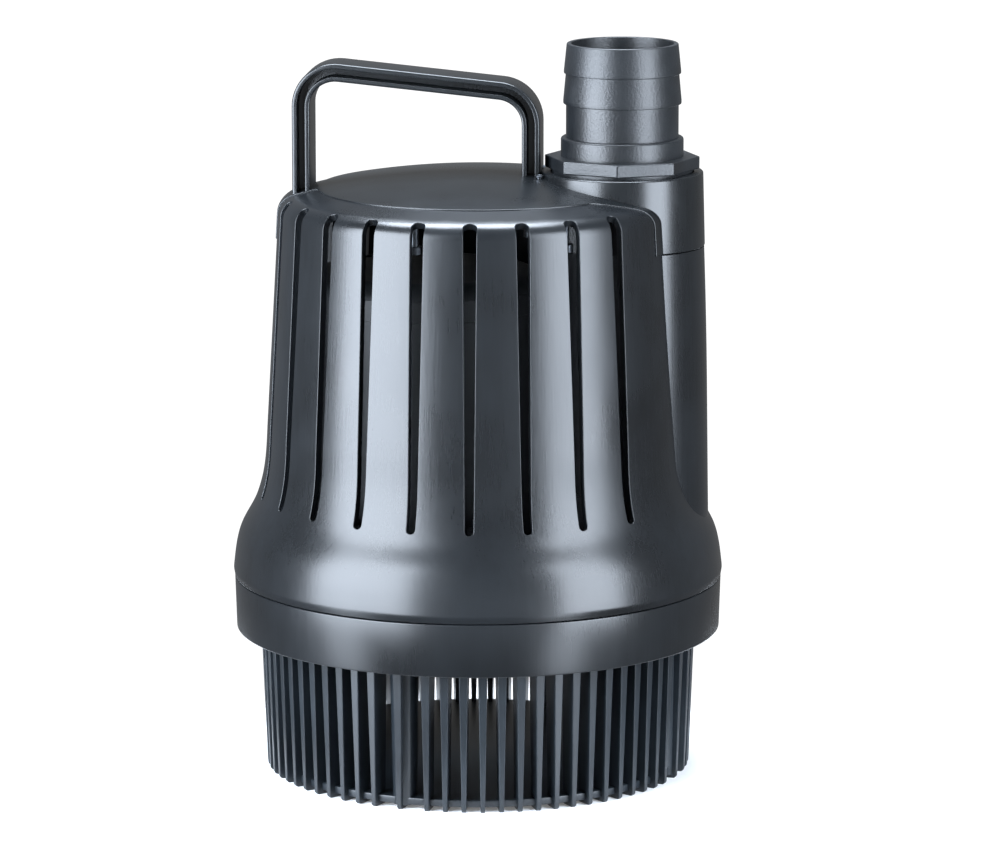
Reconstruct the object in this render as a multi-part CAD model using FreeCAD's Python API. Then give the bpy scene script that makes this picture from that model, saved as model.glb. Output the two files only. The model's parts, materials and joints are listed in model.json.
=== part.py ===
import FreeCAD, Part
import collections
import math
import os

# Submersible fountain pump with a side riser and a screwed-in hose barb. Millimetres, +Z up.
# The origin is the centre of the footprint, on the surface that the strainer fins stand on.
# +X points from the body's axis to the outlet. The motor stands beside the riser.

# --- driving dimensions ---------------------------------------------------------------------
outlet_x = 49.1            # axis of the riser and the hose barb
motor_x = -18.0            # axis of the motor, impeller and suction eye
wall = 2.5                 # wall of the moulded casings
seam_gap = 0.3             # gap at the seams between mouldings

# strainer
fin_foot_radius = 72.84
fin_top_radius = 74.7
fin_inner_radius = 66.0
fin_foot_thickness = 1.55
fin_top_thickness = 3.1
fins_per_quadrant = 16
fin_pitch = 5.0            # degrees
post_angle = -16.0         # first of four screw posts, degrees
post_radius = 67.5
floor_radius = 70.7
floor_bottom = 1.5
floor_thickness = 2.5
flange_bottom = 49.8       # top hoop of the strainer
flange_thickness = 3.0

# base ring
ring_bottom = 48.8
ring_bottom_radius = 82.95
seam_z = 67.1
seam_radius = 83.5
deck_bottom = 53.0
deck_thickness = 3.0

# slotted shell
bulge_radius = 83.9
bulge_z = 69.8
neck_radius = 71.75        # where the flare runs out into the straight wall
neck_z = 122.6
corner_radius = 67.5       # corner between wall and shoulder, before it is rounded
corner_z = 196.5
shoulder_round = 6.7
lid_radius = 54.5
lid_z = 200.0
crown_z = 205.7             # top of the domed lid
crown_radius = 52.5        # the shoulder's slope runs on to here, under the lid's edge
shoulder_slope = 0.27
slot_first = 42.0          # degrees from the outlet, repeated on both sides
slot_pitch = 15.0
slots_per_side = 9
slot_bottom_z = 95.0
slot_top_z = 197.3
slot_bottom_width = 3.0
slot_top_width = 4.6
column_foot_radius = 30.3  # fairing over the riser
column_mid_radius = 29.3
column_top_radius = 28.0
column_top_z = 181.5

# top cover
proud = 0.4                # the cover stands this far out of the shell
sleeve_foot_radius = 28.2
sleeve_top_radius = 27.5
sleeve_top_z = 206.46
thread_radius = 24.15      # 1 1/2 inch pipe thread, as a plain bore
thread_bottom_z = 190.0
socket_radius = 22.3
socket_bottom_z = 170.0
tongue_half_width = 10.4   # tongue under the handle

# handle, a bar of H section bent in the plane of the outlet
leg_left_x = -59.3
leg_right_x = 18.75
bar_left_z = 240.85        # centre line of the bar over the left leg
bar_slope = -0.1
bar_width = 6.1
bar_depth = 18.0
bend_radius = 11.7
groove_width = 2.8
groove_web = 4.0
leg_foot_z = 188.2

# hose barb
barb_bore = 17.35
thread_outer = 23.9
octagon_circumradius = 26.3
octagon_bottom = 207.4
octagon_top = 211.65
collar_radius = 20.78
collar_top = 218.0
tail_radius = 19.05
lower_ridge_radius = 20.0
lower_ridge_z = 229.43
lower_ridge_land = 1.2
upper_ridge_radius = 19.81
upper_ridge_z = 239.68
tip_radius = 18.86
tip_z = 249.8

# riser and volute
riser_outer = 22.0
riser_bore = 19.0
riser_bottom_z = 86.5
volute_outer = 46.0
volute_inner = 41.5
volute_bottom = 59.4
volute_top = 84.0
cup_outer = 24.5           # foot of the riser, cast with the volute
cup_inner = 20.0
cup_socket_outer = 26.0
cup_socket_top = 98.0
suction_radius = 17.5
suction_lip_z = 46.0

# motor
motor_outer = 42.0
motor_inner = 38.0
motor_top = 160.0
motor_cap_top = 172.0
can_inner = 19.6
can_wall = 0.6
can_bottom = 83.1
can_top = 140.0
stack_bottom = 96.0        # laminated stacks of rotor and stator
stack_top = 126.0
rotor_radius = 19.0
stator_inner = 20.6
stator_outer = 36.0
stator_slots = 12
shaft_radius = 4.0
shaft_clearance = 0.05
shaft_bottom = 57.0
shaft_top = 138.6
bush_radius = 8.0
impeller_radius = 31.0
impeller_vanes = 6
lower_bush_bottom = 78.8
lower_bush_top = 88.8
upper_bush_bottom = 133.2
upper_bush_top = 139.0

# cable inlet at the back, between two slots
cable_x = -5.4
cable_z = 150.0
cable_radius = 4.2
grommet_radius = 5.9

V = FreeCAD.Vector
UP = V(0, 0, 1)


# --- plain shapes ---------------------------------------------------------------------------
def disc(radius, z0, z1, x=0.0, y=0.0):
    return Part.makeCylinder(radius, z1 - z0, V(x, y, z0), UP)


def tube(outer, inner, z0, z1, x=0.0, y=0.0):
    return disc(outer, z0, z1, x, y).cut(disc(inner, z0 - 1, z1 + 1, x, y))


def frustum(r0, r1, z0, z1, x=0.0, y=0.0):
    return Part.makeCone(r0, r1, z1 - z0, V(x, y, z0), UP)


def block(x0, x1, y0, y1, z0, z1):
    return Part.makeBox(x1 - x0, y1 - y0, z1 - z0, V(x0, y0, z0))


def across(radius, y0, y1, x=cable_x, z=cable_z):
    """A round bar that lies along Y, by default on the cable's axis."""
    return Part.makeCylinder(radius, y1 - y0, V(x, y0, z), V(0, 1, 0))


def prism(points, z0, z1):
    corners = [V(x, y, z0) for x, y in points]
    return Part.Face(Part.makePolygon(corners + corners[:1])).extrude(V(0, 0, z1 - z0))


def spun(edges, x=0.0):
    """A solid of revolution about the vertical line at x, from edges in its radius-z plane."""
    solid = Part.Face(Part.Wire(edges)).revolve(V(0, 0, 0), UP, 360)
    solid.translate(V(x, 0, 0))
    return solid


def outline(points):
    corners = [V(r, 0, z) for r, z in points]
    return Part.makePolygon(corners + corners[:1]).Edges


def ring_seal(major, minor, z, x):
    return Part.makeTorus(major, minor, V(x, 0, z), UP)


def polar(radius, degrees, x=0.0):
    angle = math.radians(degrees)
    return x + radius * math.cos(angle), radius * math.sin(angle)


def turned(shape, degrees, x=0.0):
    copy = shape.copy()
    copy.rotate(V(x, 0, 0), UP, degrees)
    return copy


def fused(shapes):
    return shapes[0].multiFuse(shapes[1:]).removeSplitter()


def save(name, shape):
    solids = shape.Solids
    if not all(solid.isValid() for solid in solids):
        raise ValueError(name + " is not valid")
    body = solids[0] if len(solids) == 1 else Part.makeCompound(solids)
    body.exportStep("parts/" + name + ".step")
    print("%-20s %2d solids %10.1f mm3" % (name, len(solids), body.Volume))


# --- fasteners ------------------------------------------------------------------------------
# Radii of shank and head, height of the head, and the heights that the screw starts and ends at.
Screw = collections.namedtuple("Screw", "shank head head_height head_z tip_z")
strainer_screw = Screw(1.95, 2.9, 2.8, 3.2, 58.5)
shell_screw = Screw(1.9, 3.1, 2.0, deck_bottom + 0.2, 70.0)
volute_screw = Screw(1.5, 3.0, 1.5, deck_bottom + 0.05, 68.0)
motor_screw = Screw(1.7, 3.2, 3.0, 93.1, 75.5)
end_cap_screw = Screw(1.4, 3.1, 2.6, 170.8, 152.0)
cover_screw = Screw(1.5, 3.0, 2.5, 184.4, 196.0)
handle_screw = Screw(1.4, 3.0, 2.5, 183.4, 194.0)
leg_screw = Screw(0.85, 1.45, 0.9, 206.2, 198.2)
screw_clearance = 0.3      # radial, round a shank that passes through and round a sunk head


def ring_of_spots(radius, angles, x=0.0):
    return [polar(radius, angle, x) for angle in angles]


strainer_spots = ring_of_spots(post_radius, [post_angle + 90 * i for i in range(4)])
shell_screw_angles = (30, 120, 210, 300)
shell_screw_radius = 73.5
volute_spots = ring_of_spots(46.5, (45, 135, 225, 315), motor_x)
motor_spots = ring_of_spots(46.0, (60, 120, 240, 300), motor_x)
end_cap_spots = ring_of_spots(33.6, (45, 135, 225, 315), motor_x)
cover_screw_angles = (49.5, 109.5, 250.5, 310.5)
cover_screw_radius = 50.0
handle_spots = [(leg_left_x, 0), (leg_right_x, 0)]
leg_spots = [(21.9, 10.9), (21.9, -10.9)]


def screw(kind, x, y):
    """A vertical pan-head screw with a cross recess in its head."""
    way = 1 if kind.tip_z > kind.head_z else -1
    axis = V(0, 0, way)
    start = V(x, y, kind.head_z)
    head = Part.makeCylinder(kind.head, kind.head_height, start, axis)
    rod = Part.makeCylinder(kind.shank, abs(kind.tip_z - kind.head_z), start, axis)
    long, short, deep = kind.head * 0.55, kind.head * 0.16, kind.head_height * 0.5
    low = min(kind.head_z, kind.head_z + way * deep)
    cross = block(x - long, x + long, y - short, y + short, low, low + deep)
    cross = cross.fuse(block(x - short, x + short, y - long, y + long, low, low + deep))
    return head.fuse(rod).cut(cross)


def screws(kind, spots):
    return Part.makeCompound([screw(kind, x, y) for x, y in spots])


def bosses(radius, z0, z1, spots):
    return [disc(radius, z0, z1, x, y) for x, y in spots]


def thread_holes(kind, z0, z1, spots):
    return bosses(kind.shank, z0, z1, spots)


def through_holes(kind, z0, z1, spots):
    return bosses(kind.shank + screw_clearance, z0, z1, spots)


def head_seats(kind, z0, z1, spots):
    return bosses(kind.head + screw_clearance, z0, z1, spots)


# --- strainer -------------------------------------------------------------------------------
def fin():
    """One upright fin, drafted so that it is thinner and further in at its foot."""
    top = flange_bottom + 1
    foot, head = fin_foot_thickness / 2, fin_top_thickness / 2
    chamfer = 0.8
    side = [(fin_inner_radius, 0), (fin_foot_radius - chamfer, 0), (fin_foot_radius, chamfer),
            (fin_top_radius, top), (fin_inner_radius, top)]
    front = [(-foot, 0), (foot, 0), (head, top), (-head, top)]
    side = [V(r, -5, z) for r, z in side]
    front = [V(fin_inner_radius - 5, y, z) for y, z in front]
    side = Part.Face(Part.makePolygon(side + side[:1])).extrude(V(0, 10, 0))
    front = Part.Face(Part.makePolygon(front + front[:1])).extrude(V(20, 0, 0))
    return side.common(front)


def strainer_basket():
    """Floor, hoop, four screw posts and the fins all round."""
    flange_top = flange_bottom + flange_thickness
    hoop_outer, hoop_inner = 76.5, 61.5
    post_foot, post_top = 3.9, 5.0
    pieces = [disc(floor_radius, floor_bottom, floor_bottom + floor_thickness),
              tube(hoop_outer, hoop_inner, flange_bottom, flange_top)]
    for quadrant in range(4):
        post = post_angle + 90 * quadrant
        x, y = polar(post_radius, post)
        pieces.append(turned(fin(), post))
        pieces.append(frustum(post_foot, post_top, floor_bottom, flange_bottom + 1, x, y))
        for i in range(fins_per_quadrant):
            pieces.append(turned(fin(), post + 1.5 * fin_pitch + i * fin_pitch))
    seat_top = strainer_screw.head_z + strainer_screw.head_height
    holes = through_holes(strainer_screw, -1, flange_top + 1, strainer_spots)
    holes += head_seats(strainer_screw, -1, seat_top, strainer_spots)
    return fused(pieces).cut(Part.makeCompound(holes))


# --- base ring ------------------------------------------------------------------------------
flow_windows = ((40, 66), (82, 112), (262, 292), (308, 336))
deck_top = deck_bottom + deck_thickness
nozzle_radius = suction_radius + 3.5


def sector(r0, r1, start, end, z0, z1):
    """A curved window between two radii and two angles."""
    reach = 2 * r1
    wedge = prism([(0, 0), polar(reach, start), polar(reach, (start + end) / 2), polar(reach, end)],
                  z0, z1)
    return tube(r1, r0, z0, z1).common(wedge)


def base_ring():
    """Outer band, the deck that carries the pump and the lip that centres the shell."""
    inner = seam_radius - wall - 0.6
    lip_outer, lip_inner, lip_top = 80.6, 78.6, seam_z + 6
    notch = 6.5            # degrees cut from the lip, each side of a shell screw
    window_inner, window_outer = 59.0, 70.0
    boss_radius, boss_top = 5.0, 59.0
    band = spun(outline([(inner, ring_bottom), (ring_bottom_radius, ring_bottom),
                         (seam_radius, seam_z - seam_gap), (inner, seam_z - seam_gap)]))
    deck = disc(inner + 1, deck_bottom, deck_top)
    lip = tube(lip_outer, lip_inner, deck_bottom + 1, lip_top)
    pieces = [band, deck, lip] + bosses(boss_radius, deck_bottom, boss_top, strainer_spots)
    shell_spots = ring_of_spots(shell_screw_radius, shell_screw_angles)
    below, above = deck_bottom - 1, deck_top + 1
    cuts = [disc(nozzle_radius + 0.6, below, above, motor_x),
            disc(volute_outer + 0.4, deck_top, boss_top + 1, motor_x)]
    cuts += thread_holes(strainer_screw, below, boss_top + 1, strainer_spots)
    cuts += through_holes(shell_screw, below, above, shell_spots)
    seat_top = shell_screw.head_z + shell_screw.head_height
    cuts += head_seats(shell_screw, below, seat_top, shell_spots)
    cuts += through_holes(volute_screw, below, above, volute_spots)
    cuts += head_seats(volute_screw, below, deck_bottom + 1.6, volute_spots)
    for angle in shell_screw_angles:
        cuts.append(sector(lip_inner - 1.6, lip_outer + 0.4, angle - notch, angle + notch,
                           seam_z - 2, lip_top + 1))
    for start, end in flow_windows:
        cuts.append(sector(window_inner, window_outer, start, end, below, above))
    return fused(pieces).cut(Part.makeCompound(cuts))


# --- slotted shell --------------------------------------------------------------------------
def rounded_corner(before, corner, after, radius):
    """Two tangent points and the middle of the arc that rounds a corner of an outline."""
    a = V(before[0] - corner[0], 0, before[1] - corner[1]).normalize()
    b = V(after[0] - corner[0], 0, after[1] - corner[1]).normalize()
    half = a.getAngle(b) / 2
    tip = V(corner[0], 0, corner[1])
    run = radius / math.tan(half)
    middle = (a + b).normalize() * (radius / math.sin(half) - radius)
    return tip + a * run, tip + middle, tip + b * run


def shell_body(inset):
    """The solid inside the shell's outline, moved in by inset: flare, wall, shoulder and crown."""
    flare = [(seam_radius, seam_z), (bulge_radius, bulge_z), (81.7, 82.2), (75.9, 93.7),
             (73.0, 105.2), (neck_radius, neck_z)]
    flare = [V(r - inset, 0, z) for r, z in flare]
    neck = (neck_radius - inset, neck_z)
    corner = (corner_radius - inset, corner_z - inset)
    rim = (crown_radius, lid_z + (lid_radius - crown_radius) * shoulder_slope - inset)
    start, middle, end = rounded_corner(neck, corner, rim, shoulder_round - inset)
    curve = Part.BSplineCurve()
    curve.interpolate(flare, InitialTangent=V(0.3, 0, 1),
                      FinalTangent=(start - flare[-1]).normalize())
    rim_point = V(rim[0], 0, rim[1])
    crown_top = V(0, 0, crown_z - inset)
    sag = crown_top.z - rim[1]
    ball = (rim[0] ** 2 + sag ** 2) / (2 * sag)
    tilt = math.asin(rim[0] / ball) / 2
    crown_middle = V(ball * math.sin(tilt), 0, crown_top.z - ball * (1 - math.cos(tilt)))
    foot = V(0, 0, seam_z)
    edges = [curve.toShape(),
             Part.makeLine(flare[-1], start),
             Part.Arc(start, middle, end).toShape(),
             Part.makeLine(end, rim_point),
             Part.Arc(rim_point, crown_middle, crown_top).toShape(),
             Part.makeLine(crown_top, foot),
             Part.makeLine(foot, flare[0])]
    return spun(edges)


def column_body(inset):
    """The fairing over the riser, slightly barrelled, and straight above its seam."""
    top = column_top_z + 6
    base = V(column_foot_radius - inset, 0, seam_z)
    middle = V(column_mid_radius - inset, 0, 135.0)
    crown = V(column_top_radius - inset, 0, column_top_z)
    side = Part.BSplineCurve()
    side.interpolate([base, middle, crown])
    edges = [side.toShape(),
             Part.makeLine(crown, V(crown.x, 0, top)),
             Part.makeLine(V(crown.x, 0, top), V(0, 0, top)),
             Part.makeLine(V(0, 0, top), V(0, 0, seam_z)),
             Part.makeLine(V(0, 0, seam_z), base)]
    return spun(edges, outlet_x)


def cover_region(grow):
    """The space that the top cover takes: the lid, the tongue round the outlet and the tongue
    under the handle. The shell is cut back from it by the seam gap."""
    lid = disc(lid_radius + grow, 189 - grow, 215)
    half = [(30.0, 34.6 + grow), (41.0, 34.6 + grow), (62.2, 28.2 + grow), (85.0, 38.6 + grow)]
    mirrored = [(x, -y) for x, y in reversed(half)]
    outlet_tongue = prism(half + mirrored, column_top_z - grow, 215)
    handle_tongue = block(-80, -50, -tongue_half_width - grow, tongue_half_width + grow,
                          183 - grow, 215)
    return fused([lid, outlet_tongue, handle_tongue])


def slot_cutter():
    """A tall slot through the +X side of the shell, wider at its top, with round ends."""
    low, high = slot_bottom_width / 2, slot_top_width / 2
    x0, reach = 62.0, 30.0
    z0 = slot_bottom_z + low
    z1 = slot_top_z - high
    edges = [Part.makeLine(V(x0, low, z0), V(x0, high, z1)),
             Part.Arc(V(x0, high, z1), V(x0, 0, slot_top_z), V(x0, -high, z1)).toShape(),
             Part.makeLine(V(x0, -high, z1), V(x0, -low, z0)),
             Part.Arc(V(x0, -low, z0), V(x0, 0, slot_bottom_z), V(x0, low, z0)).toShape()]
    return Part.Face(Part.Wire(edges)).extrude(V(reach, 0, 0))


lug_bottom = 187.0         # lugs under the lid that the cover is screwed to
lug_top = 190.0


def outer_shell():
    """Hollow shell and riser fairing, with its slots, screw bosses and the lugs for the cover."""
    boss_radius, boss_top = 4.2, 76.0
    web_half, web_outer, web_top = 1.5, 81.5, 74.0
    lug_half, lug_inner, lug_outer = 4.0, 46.0, 66.4
    outside = shell_body(0).fuse(column_body(0))
    inside = fused([shell_body(wall), column_body(wall),
                    disc(seam_radius - wall, seam_z - 1, seam_z + 0.5)])
    cuts = [cover_region(seam_gap)]
    for side in (1, -1):
        for i in range(slots_per_side):
            cuts.append(turned(slot_cutter(), side * (slot_first + i * slot_pitch)))
    shell = outside.cut(inside).cut(Part.makeCompound(cuts))

    shell_spots = ring_of_spots(shell_screw_radius, shell_screw_angles)
    cover_spots = ring_of_spots(cover_screw_radius, cover_screw_angles)
    pieces = [shell] + bosses(boss_radius, deck_top + seam_gap, boss_top, shell_spots)
    for angle in shell_screw_angles:
        web = block(shell_screw_radius, web_outer, -web_half, web_half, seam_z + 0.2, web_top)
        pieces.append(turned(web, angle))
    for angle in cover_screw_angles:
        lug = block(lug_inner, lug_outer, -lug_half, lug_half, lug_bottom, lug_top)
        pieces.append(turned(lug, angle))
    holes = thread_holes(shell_screw, deck_top, shell_screw.tip_z + 1, shell_spots)
    holes += through_holes(cover_screw, lug_bottom - 1, lug_top + 1, cover_spots)
    holes.append(across(grommet_radius + 0.1, 55, 85))
    return fused(pieces).cut(Part.makeCompound(holes))


# --- top cover ------------------------------------------------------------------------------
def top_cover():
    """Lid, tongues and the sleeve that the hose barb screws into."""
    socket_floor = 186.0   # underside of the sockets that hold the handle's legs
    side = bar_width / 2 + 1.3
    depth = bar_depth / 2 + 1.3
    screw_x, screw_y = leg_spots[0]
    skin = shell_body(-proud).cut(shell_body(wall - proud)).common(cover_region(0))
    sleeve = frustum(sleeve_foot_radius, sleeve_top_radius, column_top_z, sleeve_top_z, outlet_x)
    skirt = disc(column_top_radius - wall - seam_gap, socket_bottom_z, column_top_z + 1, outlet_x)
    locating_rim = tube(lid_radius - 0.4, lid_radius - 2.4, lid_z - 7, lid_z - 1)
    left_socket = block(leg_left_x - side, leg_left_x + side, -depth, depth,
                        socket_floor, lid_z - 3.4)
    right_socket = block(leg_right_x - side, screw_x + 5, -screw_y - 1.7, screw_y + 1.7,
                         socket_floor, lid_z + 3)
    pieces = [skin, sleeve, skirt, locating_rim, left_socket, right_socket]
    cuts = [disc(thread_radius, thread_bottom_z, sleeve_top_z + 1, outlet_x),
            disc(socket_radius, socket_bottom_z - 1, thread_bottom_z + 1, outlet_x)]
    half = bar_width / 2 + 0.15
    depth = bar_depth / 2 + 0.15
    for leg_x in (leg_left_x, leg_right_x):
        cuts.append(block(leg_x - half, leg_x + half, -depth, depth, leg_foot_z - 0.2, 215))
    cuts += through_holes(handle_screw, socket_floor - 1, leg_foot_z, handle_spots)
    cuts += head_seats(handle_screw, socket_floor - 6, socket_floor, handle_spots)
    cuts += thread_holes(leg_screw, leg_screw.tip_z - 1, 210, leg_spots)
    cover_spots = ring_of_spots(cover_screw_radius, cover_screw_angles)
    pieces += bosses(4.0, lug_top + 0.2, lid_z - 0.2, cover_spots)
    cuts += thread_holes(cover_screw, lug_top, cover_screw.tip_z + 1, cover_spots)
    return fused(pieces).cut(Part.makeCompound(cuts))


# --- handle ---------------------------------------------------------------------------------
def handle_band(width, foot_z, half_depth):
    """The bent bar as a band of the given width about the handle's centre line."""
    half = width / 2
    x0, x1 = leg_left_x, leg_right_x
    rise = bar_slope

    def loop(offset):
        left, right = x0 - offset, x1 + offset
        lift = offset * math.hypot(1, rise)
        top_left = bar_left_z + lift + rise * (left - x0)
        top_right = bar_left_z + lift + rise * (right - x0)
        a = rounded_corner((left, foot_z), (left, top_left), (right, top_right),
                           bend_radius + offset)
        b = rounded_corner((left, top_left), (right, top_right), (right, foot_z),
                           bend_radius + offset)
        edges = [Part.makeLine(V(left, 0, foot_z), a[0]),
                 Part.Arc(*a).toShape(),
                 Part.makeLine(a[2], b[0]),
                 Part.Arc(*b).toShape(),
                 Part.makeLine(b[2], V(right, 0, foot_z)),
                 Part.makeLine(V(right, 0, foot_z), V(left, 0, foot_z))]
        face = Part.Face(Part.Wire(edges))
        face.translate(V(0, -half_depth, 0))
        return face.extrude(V(0, 2 * half_depth, 0))

    return loop(half).cut(loop(-half))


def handle():
    bar = handle_band(bar_width, leg_foot_z, bar_depth / 2)
    groove = handle_band(groove_width, leg_foot_z + 8, bar_depth)
    web = block(-80, 40, -groove_web / 2, groove_web / 2, 180, 260)
    holes = thread_holes(handle_screw, leg_foot_z - 1, handle_screw.tip_z + 1, handle_spots)
    return bar.cut(groove.cut(web)).cut(Part.makeCompound(holes))


# --- hose barb ------------------------------------------------------------------------------
gasket_top = 191.5


def hose_barb():
    """Threaded stem, octagon for a spanner, collar and a tail with two ridges."""
    stem_bottom = gasket_top + 0.1
    corners = [polar(octagon_circumradius, 45 * i, outlet_x) for i in range(8)]
    octagon = prism(corners, octagon_bottom, octagon_top)
    step = 0.8
    tail = spun(outline([(0, stem_bottom), (thread_outer, stem_bottom),
                         (thread_outer, octagon_bottom + 1), (collar_radius, octagon_bottom + 1),
                         (collar_radius, collar_top - step), (collar_radius - step, collar_top),
                         (tail_radius, collar_top), (tail_radius, lower_ridge_z),
                         (lower_ridge_radius, lower_ridge_z),
                         (lower_ridge_radius, lower_ridge_z + lower_ridge_land),
                         (tail_radius + 0.1, upper_ridge_z), (upper_ridge_radius, upper_ridge_z),
                         (upper_ridge_radius, upper_ridge_z + step),
                         (tip_radius, tip_z), (0, tip_z)]), outlet_x)
    bore = disc(barb_bore, stem_bottom - 1, tip_z + 1, outlet_x)
    return fused([tail, octagon]).cut(bore)


def barb_gasket():
    return tube(thread_outer, riser_bore + 0.2, thread_bottom_z, gasket_top, outlet_x)


# --- riser ----------------------------------------------------------------------------------
seal_minor = 0.75
seal_major = 21.5
lower_seal_z = 92.0
upper_seal_z = 182.0


def riser_tube():
    pipe = tube(riser_outer, riser_bore, riser_bottom_z, thread_bottom_z - 0.1, outlet_x)
    half = 1.0
    grooves = [tube(riser_outer + 1, seal_major - seal_minor, z - half, z + half, outlet_x)
               for z in (lower_seal_z, upper_seal_z)]
    return pipe.cut(Part.makeCompound(grooves))


# --- volute ---------------------------------------------------------------------------------
volute_seal_major = 43.9
motor_seal_major = 38.9
end_cap_seal_major = 40.0
seal_track = 1.0           # half the width of the grooves for these three seals
plate_radius = 36.0        # bearing plate, set into the casing's roof
lug_radius = 5.0           # lugs that the motor is screwed down on


def volute_casing():
    """Pressure casing round the impeller, with the discharge turned up into the riser's foot."""
    roof = 4.0
    passage_half, passage_bottom, passage_top = 13.0, 63.0, 78.0
    boss_radius, boss_top = 4.5, 72.0
    lug_bottom = 70.0
    pieces = [disc(volute_outer, volute_bottom, volute_top, motor_x),
              disc(cup_outer, volute_bottom, volute_top, outlet_x),
              disc(cup_socket_outer, volute_top - roof, cup_socket_top, outlet_x)]
    pieces += bosses(boss_radius, volute_bottom, boss_top, volute_spots)
    pieces += bosses(lug_radius, lug_bottom, volute_top, motor_spots)
    cuts = [disc(volute_inner, volute_bottom - 1, volute_top - roof, motor_x),
            disc(plate_radius + 0.2, volute_top - roof - 1, volute_top + 1, motor_x),
            block(motor_x, outlet_x, -passage_half, passage_half, passage_bottom, passage_top),
            disc(cup_inner, passage_bottom, volute_top + 3, outlet_x),
            disc(socket_radius, riser_bottom_z - 0.2, cup_socket_top + 1, outlet_x),
            tube(motor_seal_major + seal_track, motor_seal_major - seal_track,
                 volute_top - 1.5, volute_top + 1, motor_x),
            tube(volute_seal_major + seal_track, volute_seal_major - seal_track,
                 volute_bottom - 1, volute_bottom + 1.6, motor_x),
            disc(motor_outer + 0.6, volute_top, cup_socket_top + 1, motor_x)]
    cuts += thread_holes(volute_screw, volute_bottom - 1, volute_screw.tip_z + 1, volute_spots)
    cuts += thread_holes(motor_screw, motor_screw.tip_z - 1.5, volute_top + 1, motor_spots)
    return fused(pieces).cut(Part.makeCompound(cuts))


def volute_cover():
    """Suction plate with the intake eye, which hangs through the deck into the strainer."""
    boss_radius, mouth_flare = 4.5, 2.5
    top = volute_bottom
    bottom = deck_top + 0.2
    mouth_top = suction_lip_z + 4
    pieces = [disc(volute_outer, bottom, top, motor_x),
              disc(nozzle_radius, suction_lip_z, bottom + 1, motor_x)]
    pieces += bosses(boss_radius, bottom, top, volute_spots)
    cuts = [disc(suction_radius, suction_lip_z - 1, top + 1, motor_x),
            frustum(suction_radius + mouth_flare, suction_radius, suction_lip_z, mouth_top,
                    motor_x)]
    cuts += through_holes(volute_screw, bottom - 1, top + 1, volute_spots)
    return fused(pieces).cut(Part.makeCompound(cuts))


# --- impeller and rotor ---------------------------------------------------------------------
hub_bottom = 62.0
impeller_top = 76.5


def impeller():
    """Back disc and backward-curved vanes that face the suction eye."""
    hub_radius = 9.0
    vane_bottom, disc_bottom = 61.0, 74.0
    vane_radius, vane_thickness, vane_shift = 19.0, 2.0, 17.5
    hub = disc(hub_radius, hub_bottom, impeller_top, motor_x)
    back = disc(impeller_radius, disc_bottom, impeller_top, motor_x)
    curl = tube(vane_radius + vane_thickness, vane_radius, vane_bottom, disc_bottom + 1,
                motor_x + vane_shift)
    ring = tube(impeller_radius, hub_radius - 1, vane_bottom, disc_bottom + 1, motor_x)
    far_half = block(motor_x - 60, motor_x + 60, 0, 60, 50, 90)
    vane = curl.common(ring).common(far_half)
    vanes = [turned(vane, 360.0 / impeller_vanes * i, motor_x) for i in range(impeller_vanes)]
    bore = disc(shaft_radius, hub_bottom - 2, impeller_top + 2, motor_x)
    return fused([hub, back] + vanes).cut(bore)


def impeller_nut():
    """Domed hexagon nut on the shaft's end."""
    corner_radius, dome_radius = 6.4, 5.0
    low, high = shaft_bottom + 0.5, hub_bottom - 0.1
    nut = prism([polar(corner_radius, 60 * i, motor_x) for i in range(6)], low, high)
    dome = Part.makeSphere(dome_radius, V(motor_x, 0, low))
    dome = dome.common(block(motor_x - 9, motor_x + 9, -9, 9, 50, low + 0.5))
    return nut.fuse(dome).cut(disc(shaft_radius, shaft_bottom, high + 1, motor_x))


def rotor_cage():
    """Aluminium end rings of the squirrel cage, one each side of the rotor stack."""
    outer, inner, height = rotor_radius - 0.4, 11.0, 3.5
    return Part.makeCompound([tube(outer, inner, stack_bottom - height, stack_bottom, motor_x),
                              tube(outer, inner, stack_top, stack_top + height, motor_x)])


def thrust_washers():
    """Two washers that keep the rotor between its bushes, each 0.6 mm clear of its own."""
    outer, thickness = bush_radius - 0.5, 2.0
    low, high = lower_bush_top + 0.6, upper_bush_bottom - 0.6 - thickness
    return Part.makeCompound([tube(outer, shaft_radius, z, z + thickness, motor_x)
                              for z in (low, high)])


# --- bearings -------------------------------------------------------------------------------
def bearing_bush(z0, z1):
    return tube(bush_radius, shaft_radius + shaft_clearance, z0, z1, motor_x)


def upper_bush_holder():
    low, high = upper_bush_bottom - 0.2, upper_bush_top + 0.8
    cup = disc(can_inner - 0.1, low, high, motor_x)
    return cup.cut(disc(bush_radius, low - 1, upper_bush_top, motor_x))


def bearing_plate():
    """Disc in the volute's roof, with the hub that holds the lower bush."""
    plate_bottom = volute_top - 4.5
    hub_radius, hub_overlap = 12.0, 0.4
    plate = disc(plate_radius, plate_bottom, volute_top - 1, motor_x)
    hub = disc(hub_radius, lower_bush_bottom - 0.2, lower_bush_top - hub_overlap, motor_x)
    bore = disc(bush_radius, lower_bush_bottom - 1, lower_bush_top + 1, motor_x)
    return fused([plate, hub]).cut(bore)


# --- motor ----------------------------------------------------------------------------------
def rotor_can():
    """Thin deep-drawn can between rotor and stator, open at the bottom with a flange."""
    outer = can_inner + can_wall
    flange_radius = 33.0
    flange = disc(flange_radius, can_bottom, can_bottom + can_wall, motor_x)
    cup = disc(outer, can_bottom, can_top + can_wall, motor_x)
    return fused([flange, cup]).cut(disc(can_inner, can_bottom - 1, can_top, motor_x))


slot_inner = 22.5          # winding slots of the stator, from the motor's axis
slot_outer = 31.0
slot_half = 2.6


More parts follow.
